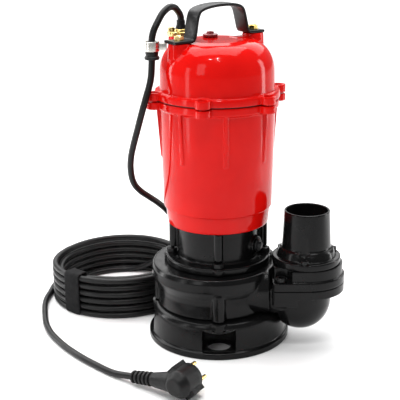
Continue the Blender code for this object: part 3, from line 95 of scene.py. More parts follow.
# Stand
RIM_R = (STAND_HIGH.x - STAND_LOW.x) / 2
SKIRT_LOW_R = RIM_R - 3.5
SKIRT_TOP_R = RIM_R - 5.5
SKIRT_WALL = 5.0
DECK_HOLE_R = 62.0
FLOOR_HOLE_R = 24.0
FOOT_HOLE_R = 14.5
FOOT_HOLE_PLACE_R = 56.5
WINDOW_W = 41.0
WINDOW_LOW = 8.5
WINDOW_HIGH = 36.5
STAND_LUG_R = 10.5
STAND_LUG_PLACE_R = 75.0
STAND_LUG_LOW = 33.0
QUARTERS = (0.0, 90.0, 180.0, 270.0)

# Volute
VOLUTE_X = -3.5
VOLUTE_FOOT_R = 73.5
VOLUTE_BELLY_R = 81.5
VOLUTE_WALL = 6.5
VOLUTE_INLET_R = 56.0
BOSS_R = 8.5
BOSS_PLACE_R = 74.0
BOSS_TOP = 77.0
BEARING_POCKET_LOW = 158.2
BEARING_POCKET_HIGH = 172.5
HANDLE_BOSS_FOOT = 355.5
GLAND_BOSS_FOOT = 350
NECK_R = 30.0
NECK_Z = 75.2
BORE_R = 15.0
BORE_START = Vector((36.0, -30.0, 67.0))

# Oil chamber
CHAMBER_R = 51.5
CHAMBER_WALL = 5.0
FLANGE_R = 66.0
FLANGE_T = 9.0
EAR_R = 10.0
EAR_PLACE_R = 58.8
PILLAR_R = 6.0
PILLAR_PLACE_R = 56.0
CHAMBER_SCREW_R = 6.8
CHAMBER_SCREW_T = 7.0
OIL_PLUG_ANGLE = 330.0
OIL_PLUG_Z = 127.0

# Motor
SHIELD_R = (SHIELD_HIGH.x - SHIELD_LOW.x) / 2
CASING_R = (67.5, 70.4)
CASING_WALL = 4.8
MOTOR_FLANGE_R = 75.0
MOTOR_FLANGE_T = 9.2
RIBS = 8
RIB_FIRST = 8.0
RIB_W = 4.6
RIB_LOW = 236.0
LUGS = 6
LUG_FIRST = 18.0
LUG_R = 9.2
LUG_PLACE_R = 79.0
COVER_FLANGE_T = 8.4
COVER_WALL_R = 69.8
COVER_WALL = 4.0
COVER_TOP = VENT_HIGH.z - 6.8
TERRACE_R = 50.0
WALL_TOP = 340.0
COVER_SCREW_R = 5.4

# Top of the cover
FOOT = Vector((44.0, 30.0, 0.0))
FOOT_TOPS = (376.8, 381.8)
HANDLE_W = 24.0
HANDLE_ENDS = (1.24, 1.16)
HANDLE_T = 3.4
VENT = (VENT_LOW + VENT_HIGH) / 2
VENT_R = (VENT_HIGH.x - VENT_LOW.x) / 2
GLAND = (GLAND_LOW + GLAND_HIGH) / 2
CLAMP = (GROMMET_LOW + GROMMET_HIGH) / 2

# Outlet
TAIL = Vector((TAIL_LOW.x + TAIL_HIGH.x, 0, 0)) / 2 + Vector((0, -30.0, 0))
ELBOW_X = TAIL.x - 7.0
BOWL_R = 38.5
BOWL_Z = ELBOW_LOW.z + BOWL_R
BOWL_WALL = 5.0
PLATE_LEFT_X = VALVE_LOW.x
PLATE_R = VALVE_HIGH.x - TAIL.x
PLATE_W = 88.0
PLATE_LOW = 71.0
PLATE_T = 10.2
SEAT_R = 22.0
TAIL_FLANGE_R = (TAIL_HIGH.x - TAIL_LOW.x) / 2
TAIL_FLANGE_T = 8.5
TAIL_COLLAR_R = 33.5
TAIL_COLLAR_TOP = 127.0
TAIL_FOOT_R = 30.4
TAIL_MOUTH_R = 28.0
TAIL_BORE_R = 25.4
TAIL_BOLT_ANGLES = (262.0, 22.0, 142.0)
TAIL_BOLT_PLACE_R = 36.2
BOLT_X = 76.0
BOLT_Y = 35.0

# Cord and plug, whose route repeats the CAD cord's points
CORD_D = 8.1
DROP_ROUTE = (
    (-43.0, 11.0, 402.0),
    (-45.5, 8.0, 409.0),
    (-52.0, 1.0, 415.5),
    (-61.0, -10.0, 412.0),
    (-69.0, -19.5, 400.0),
    (-74.6, -25.6, 387.0),
    (-76.0, -27.0, 376.0),
    (-76.1, -27.1, 363.0),
    (-76.6, -28.0, 350.0),
    (-78.2, -31.0, 334.0),
    (-83.8, -38.6, 314.0),
    (-89.5, -38.8, 295.0),
    (-95.0, -34.0, 276.0),
    (-100.5, -29.0, 257.0),
    (-105.0, -23.0, 238.0),
    (-106.3, -16.0, 219.0),
    (-104.0, -7.0, 202.0),
    (-97.5, 5.0, 188.5),
    (-88.0, 20.0, 176.0),
    (-77.0, 38.0, 161.5),
    (-65.5, 56.0, 143.5),
    (-55.5, 75.0, 118.0),
    (-47.5, 95.0, 87.0),
    (-44.2, 112.0, 69.0),
    (-46.5, 134.0, 62.3),
)
LEAD_ROUTE = (
    (-239.8, 116.0, 4.1),
    (-241.0, 88.0, 4.1),
    (-234.5, 43.0, 4.1),
    (-223.0, -1.5, 4.1),
    (-202.0, -42.0, 4.1),
    (-173.5, -80.0, 4.1),
    (-147.0, -108.0, 4.1),
    (-123.5, -130.0, 4.8),
    (-108.4, -141.2, 7.6),
    (-100.0, -146.8, 9.2),
)
COIL = (COIL_LOW + COIL_HIGH) / 2
COLUMN_R = (84.9, 93.3)
ROWS = 6
ROW_PITCH = (COIL_HIGH.z - CORD_D) / (ROWS - 1)
TIE_ANGLE = 232.0
TIE_W = 26.0
PLUG_FRONT = Vector((-32.0, -166.0, 19.8))
PLUG_HEADING = 57.0
PLUG_ROLL = -47.0
PLUG_R = 17.0
PLUG_L = 35.0
PIN_R = 2.4
PIN_L = 19.0
PIN_SPACING = 19.0


# ---------------------------------------------------------------- camera, light and floor


def set_camera():
    """A long lens in front of the pump, looking down on it a little."""
    data = bpy.data.cameras.new("camera")
    data.lens = 85.5
    data.shift_x = -0.045
    data.clip_end = 50
    camera = bpy.data.objects.new("camera", data)
    place = Matrix.Translation((AXIS.x, -1.1368, 0.5303))
    tilt = Matrix.Rotation(math.radians(72.73), 4, "X")
    roll = Matrix.Rotation(math.radians(-0.4), 4, "Z")
    camera.matrix_world = place @ tilt @ roll
    bpy.context.scene.collection.objects.link(camera)
    bpy.context.scene.camera = camera


def add_light(name, place, target, size, watts):
    data = bpy.data.lights.new(name, "AREA")
    data.shape = "RECTANGLE"
    data.size, data.size_y = size
    data.energy = watts
    light = bpy.data.objects.new(name, data)
    light.location = place
    aim = Vector(target) - Vector(place)
    light.rotation_euler = aim.to_track_quat("-Z", "Y").to_euler()
    light.visible_camera = False
    bpy.context.scene.collection.objects.link(light)


def set_light():
    """A pale room, a broad key on the left, strips on both sides and small lamps above the dome."""
    world = bpy.data.worlds.new("studio")
    world.use_nodes = True
    background = world.node_tree.nodes["Background"]
    background.inputs["Color"].default_value = (1, 1, 1, 1)
    background.inputs["Strength"].default_value = 0.3
    bpy.context.scene.world = world
    bpy.context.scene.view_settings.view_transform = "Standard"
    add_light("overhead", (-0.1, 0.35, 1.6), (-0.1, 0.35, 0), (1.5, 1.3), 30)
    add_light("far_floor", (0.0, 6.0, 3.2), (0, 6.0, 0), (9.0, 8.0), 470)
    add_light("side_floor", (-1.6, 0.9, 1.5), (-1.6, 0.9, 0), (1.6, 1.6), 18)
    add_light("key", (-0.9, -1.35, 0.95), (0, 0, 0.25), (0.45, 1.0), 4.5)
    add_light("left_panel", (-0.85, -0.5, 0.3), (0, 0, 0.22), (0.14, 0.75), 1.4)
    add_light("left_strip", (-0.95, 0.22, 0.32), (0, 0, 0.22), (0.16, 0.8), 3)
    add_light("right_strip", (0.85, 0.16, 0.32), (0, 0, 0.22), (0.16, 0.8), 3)
    add_light("dome_lamp_left", (-0.36, -0.9, 1.8), (0, 0, 0.36), (0.1, 0.035), 4)
    add_light("dome_lamp_right", (0.02, -0.9, 1.95), (0, 0, 0.36), (0.11, 0.05), 5)
    add_light("dome_lamp_low", (0.02, -1.1, 1.75), (0, 0, 0.36), (0.1, 0.03), 3)


def set_floor():
    bm = bmesh.new()
    bmesh.ops.create_circle(bm, cap_ends=True, segments=64, radius=9)
    floor = mesh_object("floor", bm)
    paper = surface(
        "floor_paper", ((0.86, 0.86, 0.86), (0.9, 0.9, 0.9)), (0.85, 0.95), 3.0, (900, 0.00002, 0.2),
    )
    floor.data.materials.append(paper)


# ---------------------------------------------------------------- materials


def surface(name, colours, roughness, mottle, grain, metallic=0.0, coat=0.0, specular=0.5, wave=None):
    """Procedural finish: two colours and two roughnesses in soft patches, and a fine raised grain.

    mottle is the patches' scale, per metre; grain and wave are (scale, height in metres, strength).
    """
    made = bpy.data.materials.new(name)
    made.use_nodes = True
    tree = made.node_tree
    shader = tree.nodes["Principled BSDF"]
    shader.inputs["Metallic"].default_value = metallic
    shader.inputs["Specular IOR Level"].default_value = specular
    if coat:
        shader.inputs["Coat Weight"].default_value = coat
        shader.inputs["Coat Roughness"].default_value = 0.06
    place = tree.nodes.new("ShaderNodeTexCoord").outputs["Object"]

    def noise(scale, detail):
        node = tree.nodes.new("ShaderNodeTexNoise")
        node.inputs["Scale"].default_value = scale
        node.inputs["Detail"].default_value = detail
        tree.links.new(place, node.inputs["Vector"])
        return node.outputs["Fac"]

    patches = noise(mottle, 4)
    blend = tree.nodes.new("ShaderNodeValToRGB")
    blend.color_ramp.elements[0].position = 0.35
    blend.color_ramp.elements[0].color = (*colours[0], 1)
    blend.color_ramp.elements[1].position = 0.65
    blend.color_ramp.elements[1].color = (*colours[1], 1)
    tree.links.new(patches, blend.inputs["Fac"])
    tree.links.new(blend.outputs["Color"], shader.inputs["Base Color"])
    shine = tree.nodes.new("ShaderNodeMapRange")
    shine.inputs["From Min"].default_value = 0.3
    shine.inputs["From Max"].default_value = 0.7
    shine.inputs["To Min"].default_value = roughness[0]
    shine.inputs["To Max"].default_value = roughness[1]
    tree.links.new(noise(mottle * 2.3, 3), shine.inputs["Value"])
    tree.links.new(shine.outputs["Result"], shader.inputs["Roughness"])
    normal = None
    for scale, height, strength in filter(None, (wave, grain)):
        bump = tree.nodes.new("ShaderNodeBump")
        bump.inputs["Strength"].default_value = strength
        bump.inputs["Distance"].default_value = height
        tree.links.new(noise(scale, 3), bump.inputs["Height"])
        if normal:
            tree.links.new(normal, bump.inputs["Normal"])
        normal = bump.outputs["Normal"]
    tree.links.new(normal, shader.inputs["Normal"])
    if coat:
        tree.links.new(normal, shader.inputs["Coat Normal"])
    return made


def make_materials():
    """Every finish: name, colours, roughness, mottle, grain and what else surface() takes."""
    finishes = {
        "red_paint": (
            "red_enamel", ((0.58, 0.003, 0.002), (0.64, 0.005, 0.003)),
            (0.07, 0.12), 22, (420, 0.00002, 0.25), {"specular": 0.17},
        ),
        "black_paint": (
            "black_cast_enamel", ((0.0025, 0.0025, 0.0027), (0.005, 0.005, 0.0052)),
            (0.15, 0.26), 45, (700, 0.00009, 0.4), {"specular": 0.17, "wave": (70, 0.0007, 0.22)},
        ),
        "tail_paint": (
            "black_smooth_enamel", ((0.0025, 0.0025, 0.0027), (0.005, 0.005, 0.0052)),
            (0.14, 0.22), 60, (600, 0.00004, 0.3), {"specular": 0.17},
        ),
        "black_steel": (
            "black_strap_coat", ((0.004, 0.004, 0.0043), (0.009, 0.009, 0.0095)),
            (0.3, 0.44), 85, (1500, 0.00004, 0.4), {"specular": 0.25},
        ),
        "brass": (
            "yellow_zinc", ((0.8, 0.56, 0.16), (0.93, 0.74, 0.34)),
            (0.16, 0.3), 180, (900, 0.00003, 0.3), {"metallic": 1.0},
        ),
        "zinc": (
            "bright_zinc", ((0.62, 0.6, 0.55), (0.8, 0.78, 0.74)),
            (0.2, 0.34), 150, (1100, 0.00003, 0.3), {"metallic": 1.0},
        ),
        "steel": (
            "machined_steel", ((0.5, 0.5, 0.51), (0.62, 0.62, 0.63)),
            (0.24, 0.36), 130, (1600, 0.00002, 0.3), {"metallic": 1.0},
        ),
        "electric_steel": (
            "laminations", ((0.2, 0.21, 0.23), (0.3, 0.31, 0.33)),
            (0.4, 0.55), 90, (1800, 0.00005, 0.5), {"metallic": 1.0},
        ),
        "copper": (
            "winding_copper", ((0.6, 0.22, 0.1), (0.78, 0.34, 0.17)),
            (0.28, 0.42), 160, (700, 0.0003, 0.6), {"metallic": 1.0},
        ),
        "rubber": (
            "cord_rubber", ((0.004, 0.004, 0.0042), (0.007, 0.007, 0.0072)),
            (0.3, 0.42), 55, (2600, 0.00004, 0.35), {"specular": 0.24},
        ),
        "tie": (
            "tie_webbing", ((0.006, 0.006, 0.0065), (0.011, 0.011, 0.0115)),
            (0.86, 0.97), 160, (2400, 0.0002, 0.7), {"specular": 0.2},
        ),
        "plug": (
            "plug_moulding", ((0.004, 0.004, 0.0042), (0.008, 0.008, 0.0082)),
            (0.36, 0.5), 90, (1800, 0.00008, 0.45), {"specular": 0.24},
        ),
        "vent": (
            "vent_plastic", ((0.22, 0.004, 0.008), (0.3, 0.008, 0.012)),
            (0.25, 0.38), 200, (1500, 0.00003, 0.3), {},
        ),
        "ceramic": (
            "seal_ceramic", ((0.55, 0.53, 0.5), (0.64, 0.62, 0.59)),
            (0.25, 0.36), 150, (1400, 0.00002, 0.3), {},
        ),
        "plastic": (
            "white_plastic", ((0.7, 0.7, 0.67), (0.78, 0.78, 0.75)),
            (0.35, 0.48), 120, (1400, 0.00003, 0.3), {},
        ),
        "iron": (
            "bare_cast_iron", ((0.05, 0.05, 0.052), (0.1, 0.098, 0.096)),
            (0.45, 0.62), 70, (800, 0.0002, 0.5), {"metallic": 0.6},
        ),
    }
    return {key: surface(*values, **more) for key, (*values, more) in finishes.items()}


# ---------------------------------------------------------------- modelling helpers


def mesh_object(name, bm):
    mesh = bpy.data.meshes.new(name)
    bm.to_mesh(mesh)
    bm.free()
    obj = bpy.data.objects.new(name, mesh)
    bpy.context.scene.collection.objects.link(obj)
    return obj


def settle(obj):
    """Applies the object's modifiers and removes the shapes that they used."""
    tools = [step.object for step in obj.modifiers if step.type == "BOOLEAN"]
    bpy.context.view_layer.update()
    graph = bpy.context.evaluated_depsgraph_get()
    mesh = bpy.data.meshes.new_from_object(obj.evaluated_get(graph))
    obj.modifiers.clear()
    obj.data = mesh
    obj.data.transform(obj.matrix_world)
    obj.matrix_world = Matrix()
    for tool in tools:
        bpy.data.objects.remove(tool, do_unlink=True)
    return obj


def boolean(obj, tools, operation):
    for tool in tools:
        if tool.modifiers:
            settle(tool)
        step = obj.modifiers.new(tool.name, "BOOLEAN")
        step.operation = operation
        step.object = tool
        step.solver = "EXACT"
    return obj


def cut(obj, *tools):
    return boolean(obj, tools, "DIFFERENCE")


def join(obj, *tools):
    return boolean(obj, tools, "UNION")


def cast(obj, voxel=1.0, passes=5):
    """Rounds every edge and inner corner as a casting's are, by an even remesh and a little smoothing."""
    settle(obj)
    remesh = obj.modifiers.new("remesh", "REMESH")
    remesh.mode = "VOXEL"
    remesh.voxel_size = voxel
    smooth = obj.modifiers.new("smooth", "SMOOTH")
    smooth.factor = 0.5
    smooth.iterations = passes
    return settle(obj)


def bevelled(obj, width, segments=2, angle=30):
    settle(obj)
    step = obj.modifiers.new("bevel", "BEVEL")
    step.width = width
    step.segments = segments
    step.limit_method = "ANGLE"
    step.angle_limit = math.radians(angle)
    return settle(obj)


def show(obj, finish, replaced=(), body="pump", angle=35):
    """Moves a finished piece into the frame and gives it its finish, its body and the nodes it stands for."""
    settle(obj)
    obj.data.transform(TO_FRAME)
    obj.data.materials.clear()
    obj.data.materials.append(MATERIALS[finish])
    obj.data.shade_smooth()
    obj.data.set_sharp_from_angle(angle=math.radians(angle))
    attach(obj, body)
    if replaced:
        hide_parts(*replaced)
    return obj


def arc(centre_r, centre_z, radius, first, last, steps=8, height=None):
    height = radius if height is None else height
    points = []
    for i in range(steps + 1):
        turn = math.radians(first + (last - first) * i / steps)
        points.append((centre_r + radius * math.cos(turn), centre_z + height * math.sin(turn)))
    return points


def rounded(corners, radius=0.8, steps=4):
    """Outline with its corners rounded; a corner may give its own radius as a third number."""
    points = []
    for i, corner in enumerate(corners):
        here = Vector(corner[:2])
        want = corner[2] if len(corner) > 2 else radius
        back = Vector(corners[i - 1][:2]) - here
        ahead = Vector(corners[(i + 1) % len(corners)][:2]) - here
        if corner[0] == 0 or want == 0:
            points.append(tuple(here))
            continue
        reach = min(want / math.tan(back.angle(ahead) / 2), back.length * 0.49, ahead.length * 0.49)
        start = here + back.normalized() * reach
        end = here + ahead.normalized() * reach
        for k in range(steps + 1):
            t = k / steps
            points.append(tuple(start * (1 - t) ** 2 + here * 2 * t * (1 - t) + end * t * t))
    return points


def lathe(name, outline, steps=FINE, at=(0, 0), matrix=None):
    """Closed turned solid from (radius, height) points; an outline that leaves the axis makes a ring."""
    bm = bmesh.new()
    rings = []
    for r, z in outline:
        if r < 1e-6:
            rings.append([bm.verts.new((0, 0, z))])
            continue
        turns = [math.tau * k / steps for k in range(steps)]
        rings.append([bm.verts.new((r * math.cos(t), r * math.sin(t), z)) for t in turns])
    following = rings[1:] + ([rings[0]] if outline[0][0] > 0 else [])
    for a, b in zip(rings, following):
        for k in range(steps):
            n = (k + 1) % steps
            if len(a) == 1:
                bm.faces.new((a[0], b[k], b[n]))
            elif len(b) == 1:
                bm.faces.new((a[n], a[k], b[0]))
            else:
                bm.faces.new((a[n], a[k], b[k], b[n]))
    bmesh.ops.recalc_face_normals(bm, faces=bm.faces)
    obj = mesh_object(name, bm)
    obj.matrix_world = matrix or Matrix.Translation((at[0], at[1], 0))
    return obj


def aimed(axis):
    """Rotation that takes +Z to the axis."""
    return Vector((0, 0, 1)).rotation_difference(Vector(axis).normalized()).to_matrix().to_4x4()


def placed(base, axis=(0, 0, 1)):
    return Matrix.Translation(base) @ aimed(axis)


def cylinder(name, radius, length, base, axis=(0, 0, 1), steps=SMALL, top=None):
    bm = bmesh.new()
    bmesh.ops.create_cone(
        bm,
        cap_ends=True,
        segments=steps,
        radius1=radius,
        radius2=radius if top is None else top,
        depth=length,
        matrix=Matrix.Translation((0, 0, length / 2)),
    )
    obj = mesh_object(name, bm)
    obj.matrix_world = placed(base, axis)
    return obj


def box(name, low, high, turn=0.0):
    bm = bmesh.new()
    size = [b - a for a, b in zip(low, high)]
    middle = [(a + b) / 2 for a, b in zip(low, high)]
    bmesh.ops.create_cube(bm, size=1, matrix=Matrix.Translation(middle) @ Matrix.Diagonal((*size, 1)))
    obj = mesh_object(name, bm)
    obj.matrix_world = Matrix.Rotation(math.radians(turn), 4, "Z")
    return obj


def prism(name, outline, low, high, matrix=None):
    """Flat outline pulled up from one height to another."""
    bm = bmesh.new()
    face = bm.faces.new([bm.verts.new((x, y, low)) for x, y in outline])
    pulled = bmesh.ops.extrude_face_region(bm, geom=[face])
    top = [v for v in pulled["geom"] if isinstance(v, bmesh.types.BMVert)]
    bmesh.ops.translate(bm, verts=top, vec=(0, 0, high - low))
    bmesh.ops.recalc_face_normals(bm, faces=bm.faces)
    obj = mesh_object(name, bm)
    obj.matrix_world = matrix or Matrix()
    return obj


def around(angle, radius, z=0.0):
    turn = math.radians(angle)
    return Vector((radius * math.cos(turn), radius * math.sin(turn), z))


def smooth_route(points, steps):
    """Points on the Catmull-Rom curve through the given ones."""
    ends = [points[0] * 2 - points[1], *points, points[-1] * 2 - points[-2]]
    found = []
    for p0, p1, p2, p3 in zip(ends, ends[1:], ends[2:], ends[3:]):
        for i in range(steps):
            t = i / steps
            bend = (p0 * 2 - p1 * 5 + p2 * 4 - p3) * t**2
            twist = (p1 * 3 - p0 - p2 * 3 + p3) * t**3
            found.append((p1 * 2 + (p2 - p0) * t + bend + twist) / 2)
    return [*found, points[-1]]


def ease(t):
    t = min(max(t, 0.0), 1.0)
    return t * t * (3 - 2 * t)


def socket_head(name, radius, height, seat, at, shank=None):
    """Cap screw with a knurled-looking rounded rim and a hexagon socket."""
    top = seat + height
    outline = [(0, top), (radius, top, 0.9), (radius, seat, 0.3)]
    if shank:
        outline += [(shank[0], seat, 0), (shank[0], shank[1], 0.6), (0, shank[1])]
    else:
        outline.append((0, seat))
    head = lathe(name, rounded(outline), 40, at)
    socket = cylinder(name + "_socket", radius * 0.56, height, (at[0], at[1], top - height * 0.55), steps=6)
    return settle(cut(head, socket))


def hex_head(name, radius, height, seat, at, turn=0.0, shank=None, dome=None):
    """Hexagon nut or screw head with chamfered corners, and a round end standing out of it."""
    outline = [
        (0, seat + height), (radius * 0.86, seat + height, 0), (radius, seat + height * 0.86, 0),
        (radius, seat, 0),
    ]
    chamfer = lathe(name, [*[c[:2] for c in outline], (0, seat)], 48, at)
    flats = cylinder(name + "_flats", radius, height * 3, (at[0], at[1], seat - height), steps=6)
    flats.matrix_world = flats.matrix_world @ Matrix.Rotation(math.radians(turn), 4, "Z")
    step = chamfer.modifiers.new("flats", "BOOLEAN")
    step.operation = "INTERSECT"
    step.object = flats
    step.solver = "EXACT"
    settle(chamfer)
    if dome:
        end = [
            (0, seat + height + dome[1]), *arc(0, seat + height, dome[0], 80, 0, 6, dome[1]),
            (dome[0], seat + 0.4),
        ]
        join(chamfer, lathe(name + "_end", [*end, (0, seat + 0.4)], 32, at))
    if shank:
        join(
            chamfer,
            cylinder(name + "_shank", shank[0], seat + 0.6 - shank[1], (at[0], at[1], shank[1]), steps=24),
        )
    return settle(chamfer)


# ---------------------------------------------------------------- pump end


def make_stand():
    top = STAND_HIGH.z
    outline = [(DECK_HOLE_R, top), (SKIRT_TOP_R - 0.6, top, 10.0), (SKIRT_LOW_R, 8.6, 1.4), (RIM_R, 7.4, 1.3)]
    outline += [(RIM_R, 0, 0.7), (FLOOR_HOLE_R, 0, 0.5), (FLOOR_HOLE_R, 5.0, 1.0)]
    outline += [(SKIRT_LOW_R - SKIRT_WALL, 5.0, 2.0), (SKIRT_TOP_R - SKIRT_WALL, top - 6.6, 2.0)]
    outline += [(DECK_HOLE_R, top - 6.6)]
    stand = lathe("stand_casting", rounded(outline))
    for i, angle in enumerate(QUARTERS):
        cut(
            stand,
            cylinder(f"foot_hole_{i}", FOOT_HOLE_R, 20, around(angle, FOOT_HOLE_PLACE_R, -6), steps=MEDIUM),
        )
    for i, angle in enumerate(QUARTERS[1:]):
        near = SKIRT_TOP_R - SKIRT_WALL - 6
        cut(
            stand,
            box(
                f"window_{i}", (near, -WINDOW_W / 2, WINDOW_LOW), (RIM_R + 5, WINDOW_W / 2, WINDOW_HIGH),
                angle,
            ),
        )
        lug = around(angle, STAND_LUG_PLACE_R, STAND_LUG_LOW)
        join(stand, cylinder(f"stand_lug_{i}", STAND_LUG_R - 1.2, top - STAND_LUG_LOW, lug, top=STAND_LUG_R))
    cast(stand, 0.9, 3)
    return show(stand, "black_paint", ["base_stand"])


def bore_run():
    return Vector((ELBOW_X, TAIL.y, BOWL_Z)) - BORE_START


def make_volute():
    low, top = VOLUTE_LOW.z, VOLUTE_HIGH.z
    belly = top - 17
    outline = [
        (0, top), (VOLUTE_BELLY_R - 2.6, top, 2.4), (VOLUTE_BELLY_R, top - 6, 2.5),
        (VOLUTE_BELLY_R, belly, 6),
    ]
    outline += [
        (VOLUTE_FOOT_R + 2.2, belly - 11, 5), (VOLUTE_FOOT_R, belly - 19, 5), (VOLUTE_FOOT_R, low, 0.8),
        (0, low),
    ]
    casing = lathe("volute_casting", rounded(outline), at=(VOLUTE_X, 0))
    for i, angle in enumerate(QUARTERS[1:]):
        dome = [(0, BOSS_TOP + BOSS_R), *arc(0, BOSS_TOP, BOSS_R, 80, 0, 8)]
        boss = lathe(
            f"boss_{i}", [*dome, (BOSS_R, low + 0.2), (0, low + 0.2)], SMALL, around(angle, BOSS_PLACE_R),
        )
        join(casing, boss)
    end = VOLUTE_HIGH.x
    join(casing, cylinder("neck", NECK_R + 4, end - 30, (30, TAIL.y - 1, NECK_Z - 2), (1, 0, 0), MEDIUM))
    cut(casing, box("neck_top", (-20, -100, top), (end + 10, 100, top + 30)))
    cut(casing, box("neck_foot", (-20, -100, 0), (end + 10, 100, low)))
    floor, roof = low + 7, top - VOLUTE_WALL - 1
    inner_belly, inner_foot = VOLUTE_BELLY_R - VOLUTE_WALL, VOLUTE_FOOT_R - VOLUTE_WALL
    hollow = [(0, roof), (inner_belly, roof), (inner_belly, belly - 4), (inner_foot, belly - 20)]
    hollow = lathe("volute_hollow", [*hollow, (inner_foot, floor), (0, floor)], MEDIUM, (VOLUTE_X, 0))
    cut(hollow, box("tongue_wall", (end - 9, -100, 0), (end + 60, 100, 150)))
    cut(casing, hollow)
    cut(casing, cylinder("neck_bore", BORE_R, 60, BORE_START, bore_run(), MEDIUM))
    cut(casing, cylinder("inlet", VOLUTE_INLET_R, 20, (0, 0, low - 5), steps=MEDIUM))
    cut(casing, cylinder("roof_hole", 40, 20, (0, 0, roof - 5), steps=MEDIUM))
    cast(casing, 1.0, 6)
    show(casing, "black_paint", ["volute_casing"])
    # The zinc studs on the three boss tops are a guessed fastener, and their bright metal stands in for the
    # shine on each boss's domed head: a painted highlight.
    for i, angle in enumerate(QUARTERS[1:]):
        tip = BOSS_TOP + BOSS_R
        highlight_stud = rounded([(0, tip + 1.6), (3.0, tip + 1.6, 1.4), (3.0, tip - 4, 0), (0, tip - 4)])
        show(lathe(f"boss_highlight_stud_{i + 1}", highlight_stud, 24, around(angle, BOSS_PLACE_R)), "zinc")


def make_chamber():
    low, top = CHAMBER_LOW.z, CHAMBER_HIGH.z
    flange = low + FLANGE_T
    inner = CHAMBER_R - CHAMBER_WALL
    outline = [
        (24, top), (CHAMBER_R, top, 0.6), (CHAMBER_R, flange, 1.5), (FLANGE_R, flange, 1.6),
        (FLANGE_R, low, 0.6),
    ]
    outline += [(17, low), (17, flange), (inner, flange), (inner, top - 6), (24, top - 6)]
    chamber = lathe("oil_chamber_casting", rounded(outline))
    for i, angle in enumerate(QUARTERS):
        join(chamber, cylinder(f"ear_{i}", EAR_R, FLANGE_T - 0.4, around(angle, EAR_PLACE_R, low + 0.2)))
        foot = flange + CHAMBER_SCREW_T + 1.2
        join(chamber, cylinder(f"pillar_{i}", PILLAR_R, top - foot, around(angle, PILLAR_PLACE_R, foot)))
        web = box(
            f"web_{i}", (CHAMBER_R - 4, -PILLAR_R + 0.8, foot), (PILLAR_PLACE_R, PILLAR_R - 0.8, top - 0.3),
            angle,
        )
        join(chamber, web)
    boss = around(OIL_PLUG_ANGLE, CHAMBER_R - 5, OIL_PLUG_Z)
    join(chamber, cylinder("oil_plug_boss", 11.5, 9, boss, around(OIL_PLUG_ANGLE, 1)))
    bore = around(OIL_PLUG_ANGLE, CHAMBER_R - 14, OIL_PLUG_Z)
    cut(chamber, cylinder("oil_plug_hole", 6.3, 20, bore, around(OIL_PLUG_ANGLE, 1)))
    cast(chamber, 0.8, 4)
    show(chamber, "black_paint", ["oil_chamber"])
    for i, angle in enumerate(QUARTERS):
        at = around(angle, EAR_PLACE_R)
        screw = hex_head(
            f"chamber_bolt_{i + 1}", CHAMBER_SCREW_R, 5.2, flange + GAP, at, 15, (3.5, VOLUTE_HIGH.z - 6),
            (3.4, 1.4),
        )
        show(screw, "black_steel", [f"chamber_screw_{i + 1}"])
    face = CHAMBER_R + 4 + GAP
    rim = [(0, 2.6), (8, 2.6, 1.0), (8, 0, 0.3), (6, 0, 0), (6, -9, 0), (0, -9)]
    frame_of_plug = placed(around(OIL_PLUG_ANGLE, face, OIL_PLUG_Z), around(OIL_PLUG_ANGLE, 1))
    plug = lathe("oil_filler_plug", rounded(rim), 40, matrix=frame_of_plug)
    head = cylinder("oil_plug_hex", 4.7, 3.4, (0, 0, 2), steps=6)
    head.matrix_world = frame_of_plug @ head.matrix_world
    join(plug, head)
    show(bevelled(plug, 0.25), "black_steel", ["oil_plug"])


def make_motor():
    low = SHIELD_LOW.z
    seam = CASING_LOW.z - GAP
    spigot = CASING_R[0] - CASING_WALL - GAP
    outline = [
        (spigot, seam + 5), (spigot, seam, 0), (SHIELD_R, seam, 0.5), (63.2, low, 3.0), (12.5, low),
        (12.5, BEARING_POCKET_LOW, 0),
    ]
    outline += [
        (26.3, BEARING_POCKET_LOW, 0), (26.3, BEARING_POCKET_HIGH), (31.3, BEARING_POCKET_HIGH),
        (31.3, low + 5), (spigot - 4, low + 5), (spigot - 4, seam + 5),
    ]
    show(lathe("lower_end_bell", rounded(outline)), "red_paint", ["lower_end_shield"])

    low, top = CASING_LOW.z, CASING_HIGH.z
    flange = top - MOTOR_FLANGE_T
    wide = CASING_R[1] - CASING_WALL + 0.8
    outline = [
        (0, top), (MOTOR_FLANGE_R, top, 0.9), (MOTOR_FLANGE_R, flange, 1.4),
        (CASING_R[1], flange - 1.2, 2.0),
    ]
    outline += [(CASING_R[0], low, 1.6), (0, low)]
    casing = lathe("motor_shell", rounded(outline))
    rib = [(CASING_R[0] - 2, RIB_LOW), (CASING_R[0] + 2.6, RIB_LOW + 1), (MOTOR_FLANGE_R - 0.6, flange + 1)]
    rib.append((CASING_R[0] - 2, flange + 1))
    for i in range(RIBS):
        turn = Matrix.Rotation(math.radians(RIB_FIRST + 360 / RIBS * i), 4, "Z")
        stand_up = turn @ Matrix.Rotation(math.radians(90), 4, "X")
        join(casing, prism(f"rib_{i}", rib, -RIB_W / 2, RIB_W / 2, stand_up))
    for i in range(LUGS):
        foot = around(LUG_FIRST + 360 / LUGS * i, LUG_PLACE_R, flange + 0.2)
        join(casing, cylinder(f"lug_{i}", LUG_R, MOTOR_FLANGE_T - 0.4, foot))
    cast(casing, 0.85, 4)
    inner = CASING_R[0] - CASING_WALL
    room = [(0, top + 5), (wide, top + 5), (wide, top - 13), (inner, top - 16), (inner, low - 5), (0, low - 5)]
    cut(casing, lathe("motor_room", room, MEDIUM))
    show(casing, "red_paint", ["motor_casing"])


def cover_outline(offset):
    """The dome's outline from its middle to the wall's foot, moved inwards by the offset."""
    centre_r = TERRACE_R - 10
    width = COVER_WALL_R - centre_r - 0.4 - offset
    height = COVER_TOP - WALL_TOP - 1.2 - offset
    shoulder = arc(centre_r, WALL_TOP, width, 86, 4, 16, height)
    return [(0, COVER_TOP - offset), (centre_r - 4, COVER_TOP - offset - 0.1), *shoulder]


